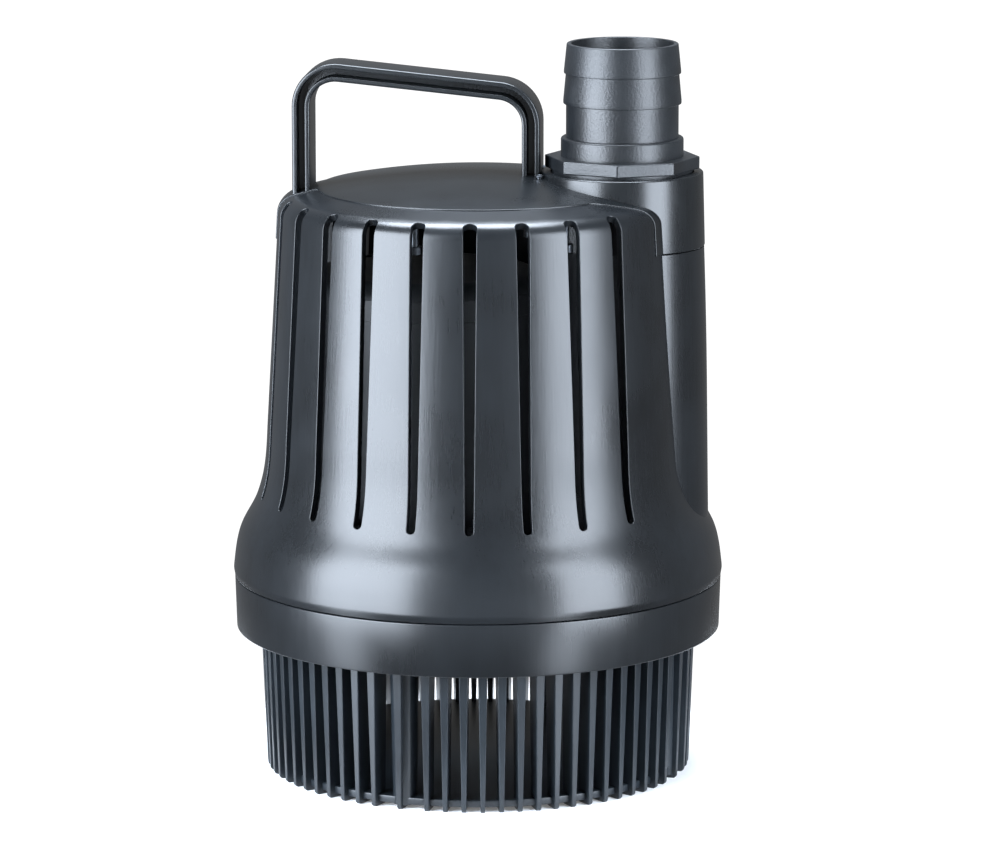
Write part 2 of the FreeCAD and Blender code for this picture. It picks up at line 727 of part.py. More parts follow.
def stator_core():
    """Laminated ring with its winding slots, each open to the rotor through a narrow mouth."""
    mouth_half = 1.0
    low, high = stack_bottom - 1, stack_top + 1
    ring = tube(stator_outer, stator_inner, stack_bottom, stack_top, motor_x)
    slot = block(motor_x + slot_inner, motor_x + slot_outer, -slot_half, slot_half, low, high)
    mouth = block(motor_x + rotor_radius, motor_x + slot_inner + 0.5, -mouth_half, mouth_half,
                  low, high)
    tooth_gap = slot.fuse(mouth)
    gaps = [turned(tooth_gap, 360.0 / stator_slots * i, motor_x) for i in range(stator_slots)]
    return ring.cut(Part.makeCompound(gaps))


def stator_windings():
    """Copper in the stator slots, with the end turns above and below the stack."""
    turns_outer, turns_inner = 33.5, 22.8
    turns_bottom, turns_top = 88.8, 133.0
    half = slot_half - 0.3
    lower = tube(turns_outer, turns_inner, turns_bottom, stack_bottom - 0.4, motor_x)
    upper = tube(turns_outer, turns_inner, stack_top + 0.4, turns_top, motor_x)
    bar = block(motor_x + slot_inner + 0.5, motor_x + slot_outer - 0.4, -half, half,
                turns_bottom + 1, turns_top - 1)
    bars = [turned(bar, 360.0 / stator_slots * i, motor_x) for i in range(stator_slots)]
    return fused([lower, upper] + bars)


gland_stem_radius = 5.9
gland_boss_end = 44.5      # how far the boss for the gland stands out towards the back


def motor_housing():
    """Cup round the stator, with screw lugs at its foot and a boss for the cable gland."""
    floor_top = volute_top + 4
    lug_top = volute_top + 6
    gland_boss_radius = 8.5
    cap_boss_radius, cap_boss_bottom = 4.6, 146.0
    pieces = [disc(motor_outer, volute_top, motor_top, motor_x),
              across(gland_boss_radius, 0, gland_boss_end)]
    pieces += bosses(lug_radius, volute_top, lug_top, motor_spots)
    cuts = [disc(motor_inner, floor_top, motor_top + 1, motor_x),
            disc(can_inner + can_wall + 0.3, volute_top - 1, floor_top + 1, motor_x)]
    cuts += through_holes(motor_screw, volute_top - 1, lug_top + 1, motor_spots)
    body = fused(pieces).cut(Part.makeCompound(cuts))
    keep_in = disc(motor_inner + 1, cap_boss_bottom, motor_top, motor_x)
    corners = bosses(cap_boss_radius, cap_boss_bottom, motor_top, end_cap_spots)
    body = fused([body] + [corner.common(keep_in) for corner in corners])
    holes = thread_holes(end_cap_screw, end_cap_screw.tip_z - 2, motor_top + 1, end_cap_spots)
    holes.append(across(gland_stem_radius + 0.1, 20, 80))
    return body.cut(Part.makeCompound(holes))


def motor_end_cap():
    """Domed lid of the motor, with four screw seats."""
    low = motor_top + 0.1
    shoulder = motor_cap_top - 5
    flat = motor_outer - 10
    seat_z = end_cap_screw.head_z - end_cap_screw.head_height
    dome = spun([Part.makeLine(V(0, 0, low), V(motor_outer, 0, low)),
                 Part.makeLine(V(motor_outer, 0, low), V(motor_outer, 0, shoulder)),
                 Part.Arc(V(motor_outer, 0, shoulder), V(motor_outer - 3.5, 0, motor_cap_top - 1.2),
                          V(flat, 0, motor_cap_top)).toShape(),
                 Part.makeLine(V(flat, 0, motor_cap_top), V(0, 0, motor_cap_top)),
                 Part.makeLine(V(0, 0, motor_cap_top), V(0, 0, low))], motor_x)
    cuts = [disc(motor_inner - 10, motor_top - 1, motor_cap_top - 3, motor_x),
            tube(end_cap_seal_major + seal_track, end_cap_seal_major - seal_track,
                 motor_top - 1, motor_top + 1.5, motor_x)]
    cuts += through_holes(end_cap_screw, motor_top - 1, motor_cap_top + 1, end_cap_spots)
    cuts += head_seats(end_cap_screw, seat_z - 0.2, motor_cap_top + 1, end_cap_spots)
    return dome.cut(Part.makeCompound(cuts))


# --- electrical parts -----------------------------------------------------------------------
def run_capacitor():
    """Capacitor can lying beside the terminal block, with two blade tabs on its end."""
    can_x, can_z, can_radius = -33.0, 151.0, 8.6
    tab_half, tab_thickness, tab_end = 2.5, 0.8, 23.0
    pieces = [across(can_radius, -18, 18, can_x, can_z)]
    for x in (can_x - 3.5, can_x + 2.7):
        pieces.append(block(x, x + tab_thickness, 17.5, tab_end, can_z - tab_half,
                            can_z + tab_half))
    return fused(pieces)


def thermal_cutout():
    """Small flat case that lies on the end turns."""
    return block(motor_x - 4, motor_x + 4, -31.5, -25.5, 133.1, 137.6)


def terminal_block():
    """Three-way block with the wells of its clamping screws."""
    half, low, high, well_radius = 5.0, 143.5, 153.5, 2.2
    body = block(-2 * half, 0, -14.0, 12.0, low, high)
    wells = bosses(well_radius, high - 4.5, high + 0.5, [(-half, y) for y in (-9.5, -1.0, 7.5)])
    return body.cut(Part.makeCompound(wells))


def cable_gland():
    """Hexagon gland body screwed into the motor's boss."""
    corner_radius, height, stem_start = 9.2, 7.0, 34.0
    start = gland_boss_end + 0.1
    hexagon = prism([polar(corner_radius, 60 * i) for i in range(6)], start, start + height)
    hexagon.rotate(V(0, 0, 0), V(1, 0, 0), -90)
    hexagon.translate(V(cable_x, 0, cable_z))
    stem = across(gland_stem_radius, stem_start, start + 0.4)
    return fused([hexagon, stem]).cut(across(cable_radius + 0.4, stem_start - 4, 70))


def cable_grommet():
    """Rubber grommet in the shell's wall that the cable leaves through."""
    lip_radius = grommet_radius + 0.7
    inner_lip = across(lip_radius, 64.0, 66.0)
    neck = across(grommet_radius, 65.0, 71.5)
    outer_lip = across(lip_radius, 70.7, 72.2)
    return fused([neck, inner_lip, outer_lip]).cut(across(cable_radius, 60, 80))


# --- the pump, from the strainer up ---------------------------------------------------------
os.makedirs("parts", exist_ok=True)
save("strainer_basket", strainer_basket())
save("strainer_screws", screws(strainer_screw, strainer_spots))
save("base_ring", base_ring())
save("shell_screws", screws(shell_screw, ring_of_spots(shell_screw_radius, shell_screw_angles)))
save("outer_shell", outer_shell())
save("top_cover", top_cover())
save("cover_screws", screws(cover_screw, ring_of_spots(cover_screw_radius, cover_screw_angles)))
save("handle", handle())
save("handle_screws", screws(handle_screw, handle_spots))
save("leg_screws", screws(leg_screw, leg_spots))
save("hose_barb", hose_barb())
save("barb_gasket", barb_gasket())
save("riser_tube", riser_tube())
save("riser_seal_lower", ring_seal(seal_major, seal_minor, lower_seal_z, outlet_x))
save("riser_seal_upper", ring_seal(seal_major, seal_minor, upper_seal_z, outlet_x))
save("volute_casing", volute_casing())
save("volute_cover", volute_cover())
save("volute_seal", ring_seal(volute_seal_major, 0.78, volute_bottom + 0.8, motor_x))
save("volute_screws", screws(volute_screw, volute_spots))
save("impeller", impeller())
save("impeller_nut", impeller_nut())
save("rotor_shaft", disc(shaft_radius, shaft_bottom, shaft_top, motor_x))
save("rotor_core", tube(rotor_radius, shaft_radius, stack_bottom, stack_top, motor_x))
save("rotor_cage", rotor_cage())
save("thrust_washers", thrust_washers())
save("lower_bush", bearing_bush(lower_bush_bottom, lower_bush_top))
save("upper_bush", bearing_bush(upper_bush_bottom, upper_bush_top))
save("upper_bush_holder", upper_bush_holder())
save("bearing_plate", bearing_plate())
save("rotor_can", rotor_can())
save("stator_core", stator_core())
save("stator_windings", stator_windings())
save("motor_housing", motor_housing())
save("motor_end_cap", motor_end_cap())
save("motor_seal", ring_seal(motor_seal_major, 0.72, volute_top - 0.76, motor_x))
save("end_cap_seal", ring_seal(end_cap_seal_major, 0.68, motor_top + 0.75, motor_x))
save("motor_screws", screws(motor_screw, motor_spots))
save("end_cap_screws", screws(end_cap_screw, end_cap_spots))
save("run_capacitor", run_capacitor())
save("thermal_cutout", thermal_cutout())
save("terminal_block", terminal_block())
save("cable_gland", cable_gland())
save("cable_grommet", cable_grommet())
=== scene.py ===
# Fountain submersible pump, from the strainer it stands on up to the hose tail. The frame is in
# metres; the sizes in each section are millimetres and degrees, as on the maker's drawing.
import json
import math

import bmesh
import bpy
from mathutils import Matrix, Vector


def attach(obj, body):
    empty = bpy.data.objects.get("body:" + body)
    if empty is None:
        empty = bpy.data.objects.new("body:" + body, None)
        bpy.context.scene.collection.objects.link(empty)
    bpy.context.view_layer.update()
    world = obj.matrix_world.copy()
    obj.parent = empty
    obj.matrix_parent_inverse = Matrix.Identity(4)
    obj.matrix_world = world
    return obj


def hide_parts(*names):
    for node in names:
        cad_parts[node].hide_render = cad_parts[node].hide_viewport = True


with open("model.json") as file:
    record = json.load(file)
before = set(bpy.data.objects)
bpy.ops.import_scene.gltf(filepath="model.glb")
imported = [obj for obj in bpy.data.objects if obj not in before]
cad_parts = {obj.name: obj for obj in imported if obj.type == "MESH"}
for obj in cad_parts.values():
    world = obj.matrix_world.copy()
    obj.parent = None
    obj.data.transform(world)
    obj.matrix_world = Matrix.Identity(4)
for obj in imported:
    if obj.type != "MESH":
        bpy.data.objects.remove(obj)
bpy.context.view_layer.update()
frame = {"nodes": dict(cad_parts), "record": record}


# --- strainer -------------------------------------------------------------------------------
# The foot of the pump: a moulded basket of upright fins on a floor plate, with a hoop on top. It
# is glass-filled polypropylene in one shot, and four long screws in posts hold it to the pump.
MM = 0.001                 # a millimetre of the sizes, in the frame's metres
fin_inner = 66.0
fin_foot_radius = 72.84
fin_top_radius = 74.7
fin_top_z = 50.8
fin_foot_thickness = 1.55
fin_top_thickness = 3.1
fin_chamfer = 0.8
fins_between_posts = 16
fin_pitch = 5.0
post_angle = -16.0
post_radius = 67.5
post_foot_radius = 3.9
post_top_radius = 5.0
screw_well_radius = 3.1
screw_well_top = 6.0
screw_hole_radius = 2.2
hoop_round = 0.4
basket_floor_z = (1.5, 4.0)
basket_floor_radius = 70.7
hoop_z = (49.8, 52.8)
hoop_radii = (61.5, 76.5)


def linear(code):
    """Turn an sRGB hex colour into the linear colour that a shader takes."""
    parts = [int(code[i:i + 2], 16) / 255 for i in (0, 2, 4)]
    return [c / 12.92 if c <= 0.04045 else ((c + 0.055) / 1.055) ** 2.4 for c in parts] + [1.0]


def add(tree, kind, links=None, **settings):
    """Add a node. Settings are its properties; links are values or sockets for its inputs."""
    node = tree.nodes.new(kind)
    for name, value in settings.items():
        setattr(node, name, value)
    for name, value in (links or {}).items():
        if isinstance(value, bpy.types.NodeSocket):
            tree.links.new(value, node.inputs[name])
        else:
            node.inputs[name].default_value = value
    return node


def new_material(name, sockets):
    """A material with a Principled shader; sockets are the shader's values by name."""
    material = bpy.data.materials.new(name)
    material.use_nodes = True
    shader = material.node_tree.nodes["Principled BSDF"]
    for socket, value in sockets.items():
        shader.inputs[socket].default_value = value
    return material, material.node_tree, shader


def moulded_plastic(name, dark, light, roughness, grain, depth, drawn=1.0, lobes=45.0):
    """Moulded plastic: a fine skin of grain, cloudy changes of tone and gloss, and faint lines
    where it was drawn from the mould. Grain and lobes are sizes, depth is the relief."""
    material, tree, shader = new_material(name, {"IOR": 1.5})
    place = add(tree, "ShaderNodeTexCoord").outputs["Object"]
    along = add(tree, "ShaderNodeMapping", {"Vector": place, "Scale": (1, 1, drawn)})
    skin = add(tree, "ShaderNodeTexNoise", {"Vector": along.outputs[0], "Scale": 1 / (grain * MM),
                                            "Detail": 3.0, "Roughness": 0.6})
    cloud = add(tree, "ShaderNodeTexNoise", {"Vector": place, "Scale": 1 / (lobes * MM),
                                             "Detail": 4.0})
    blend = add(tree, "ShaderNodeMath", {0: skin.outputs[0], 1: cloud.outputs[0]},
                operation="MULTIPLY_ADD")
    tree.links.new(cloud.outputs[0], blend.inputs[2])
    tone = add(tree, "ShaderNodeMapRange", {"Value": blend.outputs[0], "From Min": 0.45,
                                            "From Max": 1.05})
    colour = add(tree, "ShaderNodeMix", {0: tone.outputs[0], 6: linear(dark), 7: linear(light)},
                 data_type="RGBA")
    gloss = add(tree, "ShaderNodeMapRange", {"Value": blend.outputs[0], "From Min": 0.3,
                                             "From Max": 1.2, "To Min": roughness - 0.06,
                                             "To Max": roughness + 0.06})
    relief = add(tree, "ShaderNodeBump", {"Height": skin.outputs[0], "Strength": 1.0,
                                          "Distance": depth * MM})
    tree.links.new(colour.outputs[2], shader.inputs["Base Color"])
    tree.links.new(gloss.outputs[0], shader.inputs["Roughness"])
    tree.links.new(relief.outputs[0], shader.inputs["Normal"])
    return material


def new_object(name, mesh):
    item = bpy.data.objects.new(name, mesh)
    bpy.context.scene.collection.objects.link(item)
    return item


def mesh_object(name, made, material, smooth=35.0):
    """Close and right a bmesh in millimetres, and keep it as an object in metres."""
    bmesh.ops.remove_doubles(made, verts=made.verts, dist=0.001)
    bmesh.ops.recalc_face_normals(made, faces=made.faces)
    mesh = bpy.data.meshes.new(name)
    made.to_mesh(mesh)
    made.free()
    mesh.transform(Matrix.Scale(MM, 4))
    mesh.shade_smooth()
    mesh.set_sharp_from_angle(angle=math.radians(smooth))
    mesh.materials.append(material)
    return new_object(name, mesh)


def rounded(corners, segments=4):
    """Points of an outline. A corner is (radius, height) or (radius, height, rounding)."""
    points = []
    count = len(corners)
    for i, corner in enumerate(corners):
        here = Vector(corner[:2])
        size = corner[2] if len(corner) > 2 else 0.0
        if not size:
            points.append(here)
            continue
        back = (Vector(corners[i - 1][:2]) - here).normalized()
        on = (Vector(corners[(i + 1) % count][:2]) - here).normalized()
        half = back.angle(on) / 2
        centre = here + (back + on).normalized() * size / math.sin(half)
        start = here + back * size / math.tan(half) - centre
        end = here + on * size / math.tan(half) - centre
        for k in range(segments + 1):
            points.append(centre + start.slerp(end, k / segments).normalized() * size)
    return points


def lathe(made, corners, x=0.0, steps=128, segments=4, y=0.0):
    """Turn a closed outline about the vertical line through (x, y)."""
    rings = []
    outline = rounded(corners, segments)
    for k in range(steps):
        turn = 2 * math.pi * k / steps
        across, along = math.cos(turn), math.sin(turn)
        rings.append([made.verts.new((x + p.x * across, y + p.x * along, p.y)) for p in outline])
    for k, ring in enumerate(rings):
        following = rings[(k + 1) % steps]
        for i in range(len(ring)):
            j = (i + 1) % len(ring)
            corner_verts = [ring[i], following[i], following[j], ring[j]]
            if outline[i].x < 0.001 and outline[j].x < 0.001:
                continue
            if outline[i].x < 0.001:
                corner_verts.pop(1)
            elif outline[j].x < 0.001:
                corner_verts.pop(2)
            made.faces.new(corner_verts)


def row_tree():
    """Geometry tree: copies of the base mesh turned about the pump's axis, in groups."""
    tree = bpy.data.node_groups.new("rows round the axis", "GeometryNodeTree")
    sockets = (("Geometry", "NodeSocketGeometry"), ("Per Group", "NodeSocketInt"),
               ("Groups", "NodeSocketInt"), ("First Angle", "NodeSocketFloat"),
               ("Pitch", "NodeSocketFloat"), ("Material", "NodeSocketMaterial"))
    for label, kind in sockets:
        tree.interface.new_socket(label, in_out="INPUT", socket_type=kind)
    tree.interface.new_socket("Geometry", in_out="OUTPUT", socket_type="NodeSocketGeometry")
    given = add(tree, "NodeGroupInput").outputs
    total = add(tree, "ShaderNodeMath", {0: given["Per Group"], 1: given["Groups"]},
                operation="MULTIPLY")
    spots = add(tree, "GeometryNodePoints", {"Count": total.outputs[0]})
    index = add(tree, "GeometryNodeInputIndex").outputs[0]
    group = add(tree, "ShaderNodeMath", {0: index, 1: given["Per Group"]}, operation="DIVIDE")
    whole = add(tree, "ShaderNodeMath", {0: group.outputs[0]}, operation="FLOOR")
    member = add(tree, "ShaderNodeMath", {0: index, 1: given["Per Group"]}, operation="MODULO")
    quarter = add(tree, "ShaderNodeMath", {0: 2 * math.pi, 1: given["Groups"]},
                  operation="DIVIDE")
    start = add(tree, "ShaderNodeMath", {0: whole.outputs[0], 1: quarter.outputs[0],
                                         2: given["First Angle"]}, operation="MULTIPLY_ADD")
    angle = add(tree, "ShaderNodeMath", {0: member.outputs[0], 1: given["Pitch"],
                                         2: start.outputs[0]}, operation="MULTIPLY_ADD")
    turn = add(tree, "ShaderNodeCombineXYZ", {"Z": angle.outputs[0]})
    copies = add(tree, "GeometryNodeInstanceOnPoints", {"Points": spots.outputs[0],
                                                        "Instance": given["Geometry"],
                                                        "Rotation": turn.outputs[0]})
    solid = add(tree, "GeometryNodeRealizeInstances", {"Geometry": copies.outputs[0]})
    finished = add(tree, "GeometryNodeSetMaterial", {"Geometry": solid.outputs[0],
                                                     "Material": given["Material"]})
    add(tree, "NodeGroupOutput", {0: finished.outputs[0]})
    return tree


def grow(item, tree, **given):
    """Run a geometry tree on an object and leave it as the plain mesh that comes out."""
    maker = item.modifiers.new(tree.name, "NODES")
    maker.node_group = tree
    for entry in tree.interface.items_tree:
        key = entry.name.replace(" ", "_").lower()
        if entry.in_out == "INPUT" and key in given:
            maker[entry.identifier] = given[key]
    return settle(item)


def settle(item):
    """Turn an object's modifiers into plain mesh, so that nothing is left live on it."""
    scene_now = bpy.context.evaluated_depsgraph_get()
    mesh = bpy.data.meshes.new_from_object(item.evaluated_get(scene_now),
                                           preserve_all_data_layers=True, depsgraph=scene_now)
    item.modifiers.clear()
    old = item.data
    item.data = mesh
    bpy.data.meshes.remove(old)
    mesh.name = item.name
    return item


def round_edges(item, width, segments=2, angle=40.0):
    """Give an object's sharp edges the small radius that a mould leaves."""
    bevel = item.modifiers.new("mould radius", "BEVEL")
    bevel.width = width * MM
    bevel.segments = segments
    bevel.limit_method = "ANGLE"
    bevel.angle_limit = math.radians(angle)
    bevel.harden_normals = True
    return settle(item)


def joined(name, parts):
    """Make one object of several, which keep their own faces and materials."""
    with bpy.context.temp_override(active_object=parts[0], selected_editable_objects=parts):
        bpy.ops.object.join()
    parts[0].name = name
    parts[0].data.name = name
    return parts[0]


# Glass-filled polypropylene, moulded and left as it came: dark blue-grey, with a dry satin skin.
# The grain of the real skin is about 0.2 mm; it is drawn at 0.9 mm, because it must be seen.
strainer_plastic = moulded_plastic("moulded glass-filled polypropylene", "12161a", "1f252a",
                                   0.36, 0.9, 0.012, drawn=0.2)

made = bmesh.new()
side = [(fin_inner, 0), (fin_foot_radius - fin_chamfer, 0), (fin_foot_radius, fin_chamfer),
        (fin_top_radius, fin_top_z), (fin_inner, fin_top_z)]
sides = []
for hand in (1, -1):
    face = []
    for radius, z in side:
        thickness = fin_foot_thickness + (fin_top_thickness - fin_foot_thickness) * z / fin_top_z
        face.append(made.verts.new((radius, hand * thickness / 2, z)))
    sides.append(face)
made.faces.new(sides[0])
made.faces.new(sides[1][::-1])
for i in range(len(side)):
    j = (i + 1) % len(side)
    made.faces.new((sides[0][i], sides[0][j], sides[1][j], sides[1][i]))
one_fin = round_edges(mesh_object("one_fin", made, strainer_plastic), 0.28)
plain_fin = new_object("plain_fin", one_fin.data.copy())
rows = row_tree()
fins = grow(one_fin, rows, per_group=fins_between_posts, groups=4, pitch=math.radians(fin_pitch),
            first_angle=math.radians(post_angle + 1.5 * fin_pitch), material=strainer_plastic)
post_fins = grow(plain_fin, rows, per_group=1, groups=4, pitch=0.0,
                 first_angle=math.radians(post_angle), material=strainer_plastic)

made = bmesh.new()
post_foot_z = basket_floor_z[0] - 0.2
lathe(made, [(screw_well_radius, screw_well_top), (screw_well_radius, post_foot_z),
             (post_foot_radius, post_foot_z), (post_top_radius, fin_top_z),
             (screw_hole_radius, fin_top_z), (screw_hole_radius, screw_well_top)],
      post_radius, 32)
posts = grow(mesh_object("posts", made, strainer_plastic), rows, per_group=1, groups=4,
             pitch=0.0, first_angle=math.radians(post_angle), material=strainer_plastic)

made = bmesh.new()
low, high = basket_floor_z
lathe(made, [(0, low), (basket_floor_radius, low, hoop_round),
             (basket_floor_radius, high, hoop_round), (0, high)], steps=144)
low, high = hoop_z
lathe(made, [(radius, z, hoop_round) for radius, z in
             ((hoop_radii[0], low), (hoop_radii[1], low), (hoop_radii[1], high),
              (hoop_radii[0], high))], steps=144)
plates = mesh_object("plates", made, strainer_plastic)
basket = joined("strainer_fins", [fins, post_fins, posts, plates])
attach(basket, "pump_body")
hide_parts("strainer_basket")


# --- strainer screws ------------------------------------------------------------------------
# Four long pan-head screws in the posts, cold-headed from stainless wire with a cross recess,
# turned up from below into the deck.
strainer_screw_z = (3.2, 58.5)            # face of the head, and the point
strainer_screw_sizes = (1.95, 2.9, 2.8)   # radii of shank and head, and the head's height


def pan_head_screw(name, material, x, y, head_z, tip_z, shank, head, height):
    """A screw about the vertical line through (x, y): its head's face is at head_z, with a
    cross recess, and its point at tip_z."""
    out = 1 if head_z > tip_z else -1
    seat = head_z - out * height
    corners = [(0, tip_z), (shank * 0.6, tip_z), (shank, tip_z + out * shank), (shank, seat),
               (head, seat, 0.08), (head, seat + out * height * 0.5),
               (head * 0.86, seat + out * height * 0.8),
               (head * 0.55, seat + out * height * 0.96), (0, head_z)]
    made = bmesh.new()
    lathe(made, corners, x, 24, 2, y)
    item = mesh_object(name, made, material)
    reach, arm = head * 0.56, head * 0.15
    cross = [(reach, arm), (arm, arm), (arm, reach)]
    outline = []
    for quarter in range(4):
        turn = Matrix.Rotation(quarter * math.pi / 2, 2)
        outline += [turn @ Vector(point) for point in cross]
    made = bmesh.new()
    rims = []
    for z, size in ((head_z + out, 1.15), (head_z - out * height * 0.5, 0.7)):
        rims.append([made.verts.new((x + p.x * size, y + p.y * size, z)) for p in outline])
    made.faces.new(rims[0])
    made.faces.new(rims[1][::-1])
    for i in range(len(outline)):
        made.faces.new((rims[0][i - 1], rims[0][i], rims[1][i], rims[1][i - 1]))
    tool = mesh_object("recess_tool", made, material)
    cut = item.modifiers.new("recess", "BOOLEAN")
    cut.object = tool
    cut.solver = "EXACT"
    settle(item)
    bpy.data.objects.remove(tool)
    return item


def metal(name, colour, roughness, spread, grain, stretch, depth):
    """Bare metal: fine lines or grain, with small changes in gloss from handling."""
    material, tree, shader = new_material(name, {"Metallic": 1.0})
    place = add(tree, "ShaderNodeTexCoord").outputs["Object"]
    along = add(tree, "ShaderNodeMapping", {"Vector": place, "Scale": stretch})
    lines = add(tree, "ShaderNodeTexNoise", {"Vector": along.outputs[0],
                                             "Scale": 1 / (grain * MM), "Detail": 4.0})
    gloss = add(tree, "ShaderNodeMapRange", {"Value": lines.outputs[0], "From Min": 0.3,
                                             "From Max": 0.7, "To Min": roughness - spread,
                                             "To Max": roughness + spread})
    shade = add(tree, "ShaderNodeMapRange", {"Value": lines.outputs[0], "From Min": 0.2,
                                             "From Max": 0.8, "To Min": 0.85, "To Max": 1.0})
    tone = add(tree, "ShaderNodeMix", {0: 1.0, 6: linear(colour), 7: shade.outputs[0]},
               data_type="RGBA", blend_type="MULTIPLY")
    relief = add(tree, "ShaderNodeBump", {"Height": lines.outputs[0], "Strength": 1.0,
                                          "Distance": depth * MM})
    tree.links.new(tone.outputs[2], shader.inputs["Base Color"])
    tree.links.new(gloss.outputs[0], shader.inputs["Roughness"])
    tree.links.new(relief.outputs[0], shader.inputs["Normal"])
    return material


# Cold-headed stainless steel, blackened: dark grey with a soft shine and shallow marks 0.4 mm wide.
screw_steel = metal("blackened stainless steel", "55585c", 0.36, 0.08, 0.4, (1, 1, 1), 0.004)

one_screw = pan_head_screw("basket_screws", screw_steel, post_radius, 0.0, *strainer_screw_z,
                           *strainer_screw_sizes)
strainer_screws = grow(one_screw, rows, per_group=1, groups=4, pitch=0.0,
                       first_angle=math.radians(post_angle), material=screw_steel)
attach(strainer_screws, "pump_body")
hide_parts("strainer_screws")


# --- base ring ------------------------------------------------------------------------------
# The plain band above the strainer, with the deck inside it that carries motor and volute. It
# is moulded in the casing's own plastic; the shell drops over its lip and is screwed from below.
ring_bottom = 48.8
ring_bottom_radius = 82.95
seam_z = 67.1
seam_radius = 83.5
seam_gap = 0.3
ring_inner = 80.4
lip_radii = (78.6, 80.6)
lip_top = 73.1
deck_z = (53.0, 56.0)
motor_x = -18.0
nozzle_hole = 21.6
flow_windows = ((40, 66), (82, 112), (262, 292), (308, 336))
window_radii = (59.0, 70.0)

# Black ABS with a light satin polish. Long faint lines run up the wall, where it was drawn from
# the mould and wiped; the real ones are about 0.15 mm wide and are drawn at 0.8 mm to be seen.
casing_plastic = moulded_plastic("satin black ABS", "0a0c0e", "14171a", 0.29, 0.8, 0.02,
                                 drawn=0.012)

made = bmesh.new()
lathe(made, [(ring_inner, ring_bottom, 0.3), (ring_bottom_radius, ring_bottom, 0.45),
             (seam_radius, seam_z - seam_gap, 0.45), (ring_inner, seam_z - seam_gap, 0.3)],
      steps=180)
lathe(made, [(lip_radii[0], deck_z[0] + 1), (lip_radii[1], deck_z[0] + 1),
             (lip_radii[1], lip_top, 0.4), (lip_radii[0], lip_top, 0.4)], steps=128)
band = mesh_object("band", made, casing_plastic)


def flat_plate(name, loops, z0, z1, material):
    """A level plate: the first loop is its outline, and the others are the holes in it."""
    flat = bpy.data.curves.new(name, "CURVE")
    flat.dimensions = "2D"
    flat.fill_mode = "BOTH"
    flat.extrude = (z1 - z0) / 2 * MM
    for loop in loops:
        line = flat.splines.new("POLY")
        line.points.add(len(loop) - 1)
        for point, (x, y) in zip(line.points, loop):
            point.co = (x * MM, y * MM, 0, 1)
        line.use_cyclic_u = True
    item = new_object(name, flat)
    mesh = bpy.data.meshes.new_from_object(item.evaluated_get(
        bpy.context.evaluated_depsgraph_get()))
    bpy.data.objects.remove(item)
    mesh.transform(Matrix.Translation((0, 0, (z0 + z1) / 2 * MM)))
    mesh.materials.clear()
    mesh.materials.append(material)
    return new_object(name, mesh)


def circle(radius, x=0.0, y=0.0, steps=96):
    turns = [2 * math.pi * k / steps for k in range(steps)]
    return [(x + radius * math.cos(t), y + radius * math.sin(t)) for t in turns]


def curved_window(r0, r1, start, end, steps=12):
    """A loop between two radii and two angles."""
    turns = [math.radians(start + (end - start) * k / steps) for k in range(steps + 1)]
    outer = [(r1 * math.cos(t), r1 * math.sin(t)) for t in turns]
    inner = [(r0 * math.cos(t), r0 * math.sin(t)) for t in reversed(turns)]
    return outer + inner


loops = [circle(ring_inner + 0.6), circle(nozzle_hole, motor_x)]
loops += [curved_window(*window_radii, *window) for window in flow_windows]
deck = flat_plate("deck", loops, *deck_z, casing_plastic)
base_ring = joined("base_band", [band, deck])
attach(base_ring, "pump_body")
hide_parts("base_ring")


# --- outer shell ----------------------------------------------------------------------------
# The tall flared shell, moulded in black ABS, with eighteen slots that let water past the motor
# and a fairing over the riser. It sits on the ring's lip, and the top cover lies in its shoulder.
wall = 2.5
bulge = (83.85, 69.8)
flare = [(seam_radius, seam_z), bulge, (81.7, 82.2), (75.9, 93.7), (73.0, 105.2), (71.75, 122.6)]
shoulder_corner = (67.5, 196.5)
shoulder_round = 6.7
lid_radius = 54.5
lid_z = 200.0
shell_top_radius = 53.0
shoulder_slope = 0.27
slot_first = 42.0
slot_pitch = 15.0
slots_per_side = 9
slot_z = (95.0, 197.3)
slot_half_widths = (1.5, 2.3)
outlet_x = 49.1
column_radii = ((67.1, 30.3), (135.0, 29.3), (181.5, 28.0))
column_top = 181.2
column_sunk = 1.2
grommet_x = -5.4
grommet_z = 150.0
grommet_hole = 5.0
behind_fairing = (95.0, 185.0)            # heights between which the shell is open to the riser
shell_edge_round = 0.5
row_step = 2.4             # longest step along the wall between two rows of the mesh
row_turn = 5.0             # largest turn in degrees between them


def curve_through(points, first, steps=10):
    """Points of a smooth curve through the given ones; first is its direction at the start."""
    points = [Vector(p) for p in points]
    tangents = [Vector(first) * (points[1] - points[0]).length]
    for i in range(1, len(points) - 1):
        tangents.append((points[i + 1] - points[i - 1]) / 2)
    tangents.append(points[-1] - points[-2])
    found = []
    for i in range(len(points) - 1):
        a, b = points[i], points[i + 1]
        span = (b - a).length
        before = tangents[i].normalized() * span
        after = tangents[i + 1].normalized() * span
        for k in range(steps):
            t = k / steps
            found.append(a * (1 + 2 * t) * (1 - t) ** 2 + before * t * (1 - t) ** 2
                         + b * t * t * (3 - 2 * t) + after * t * t * (t - 1))
    return found + [points[-1]]


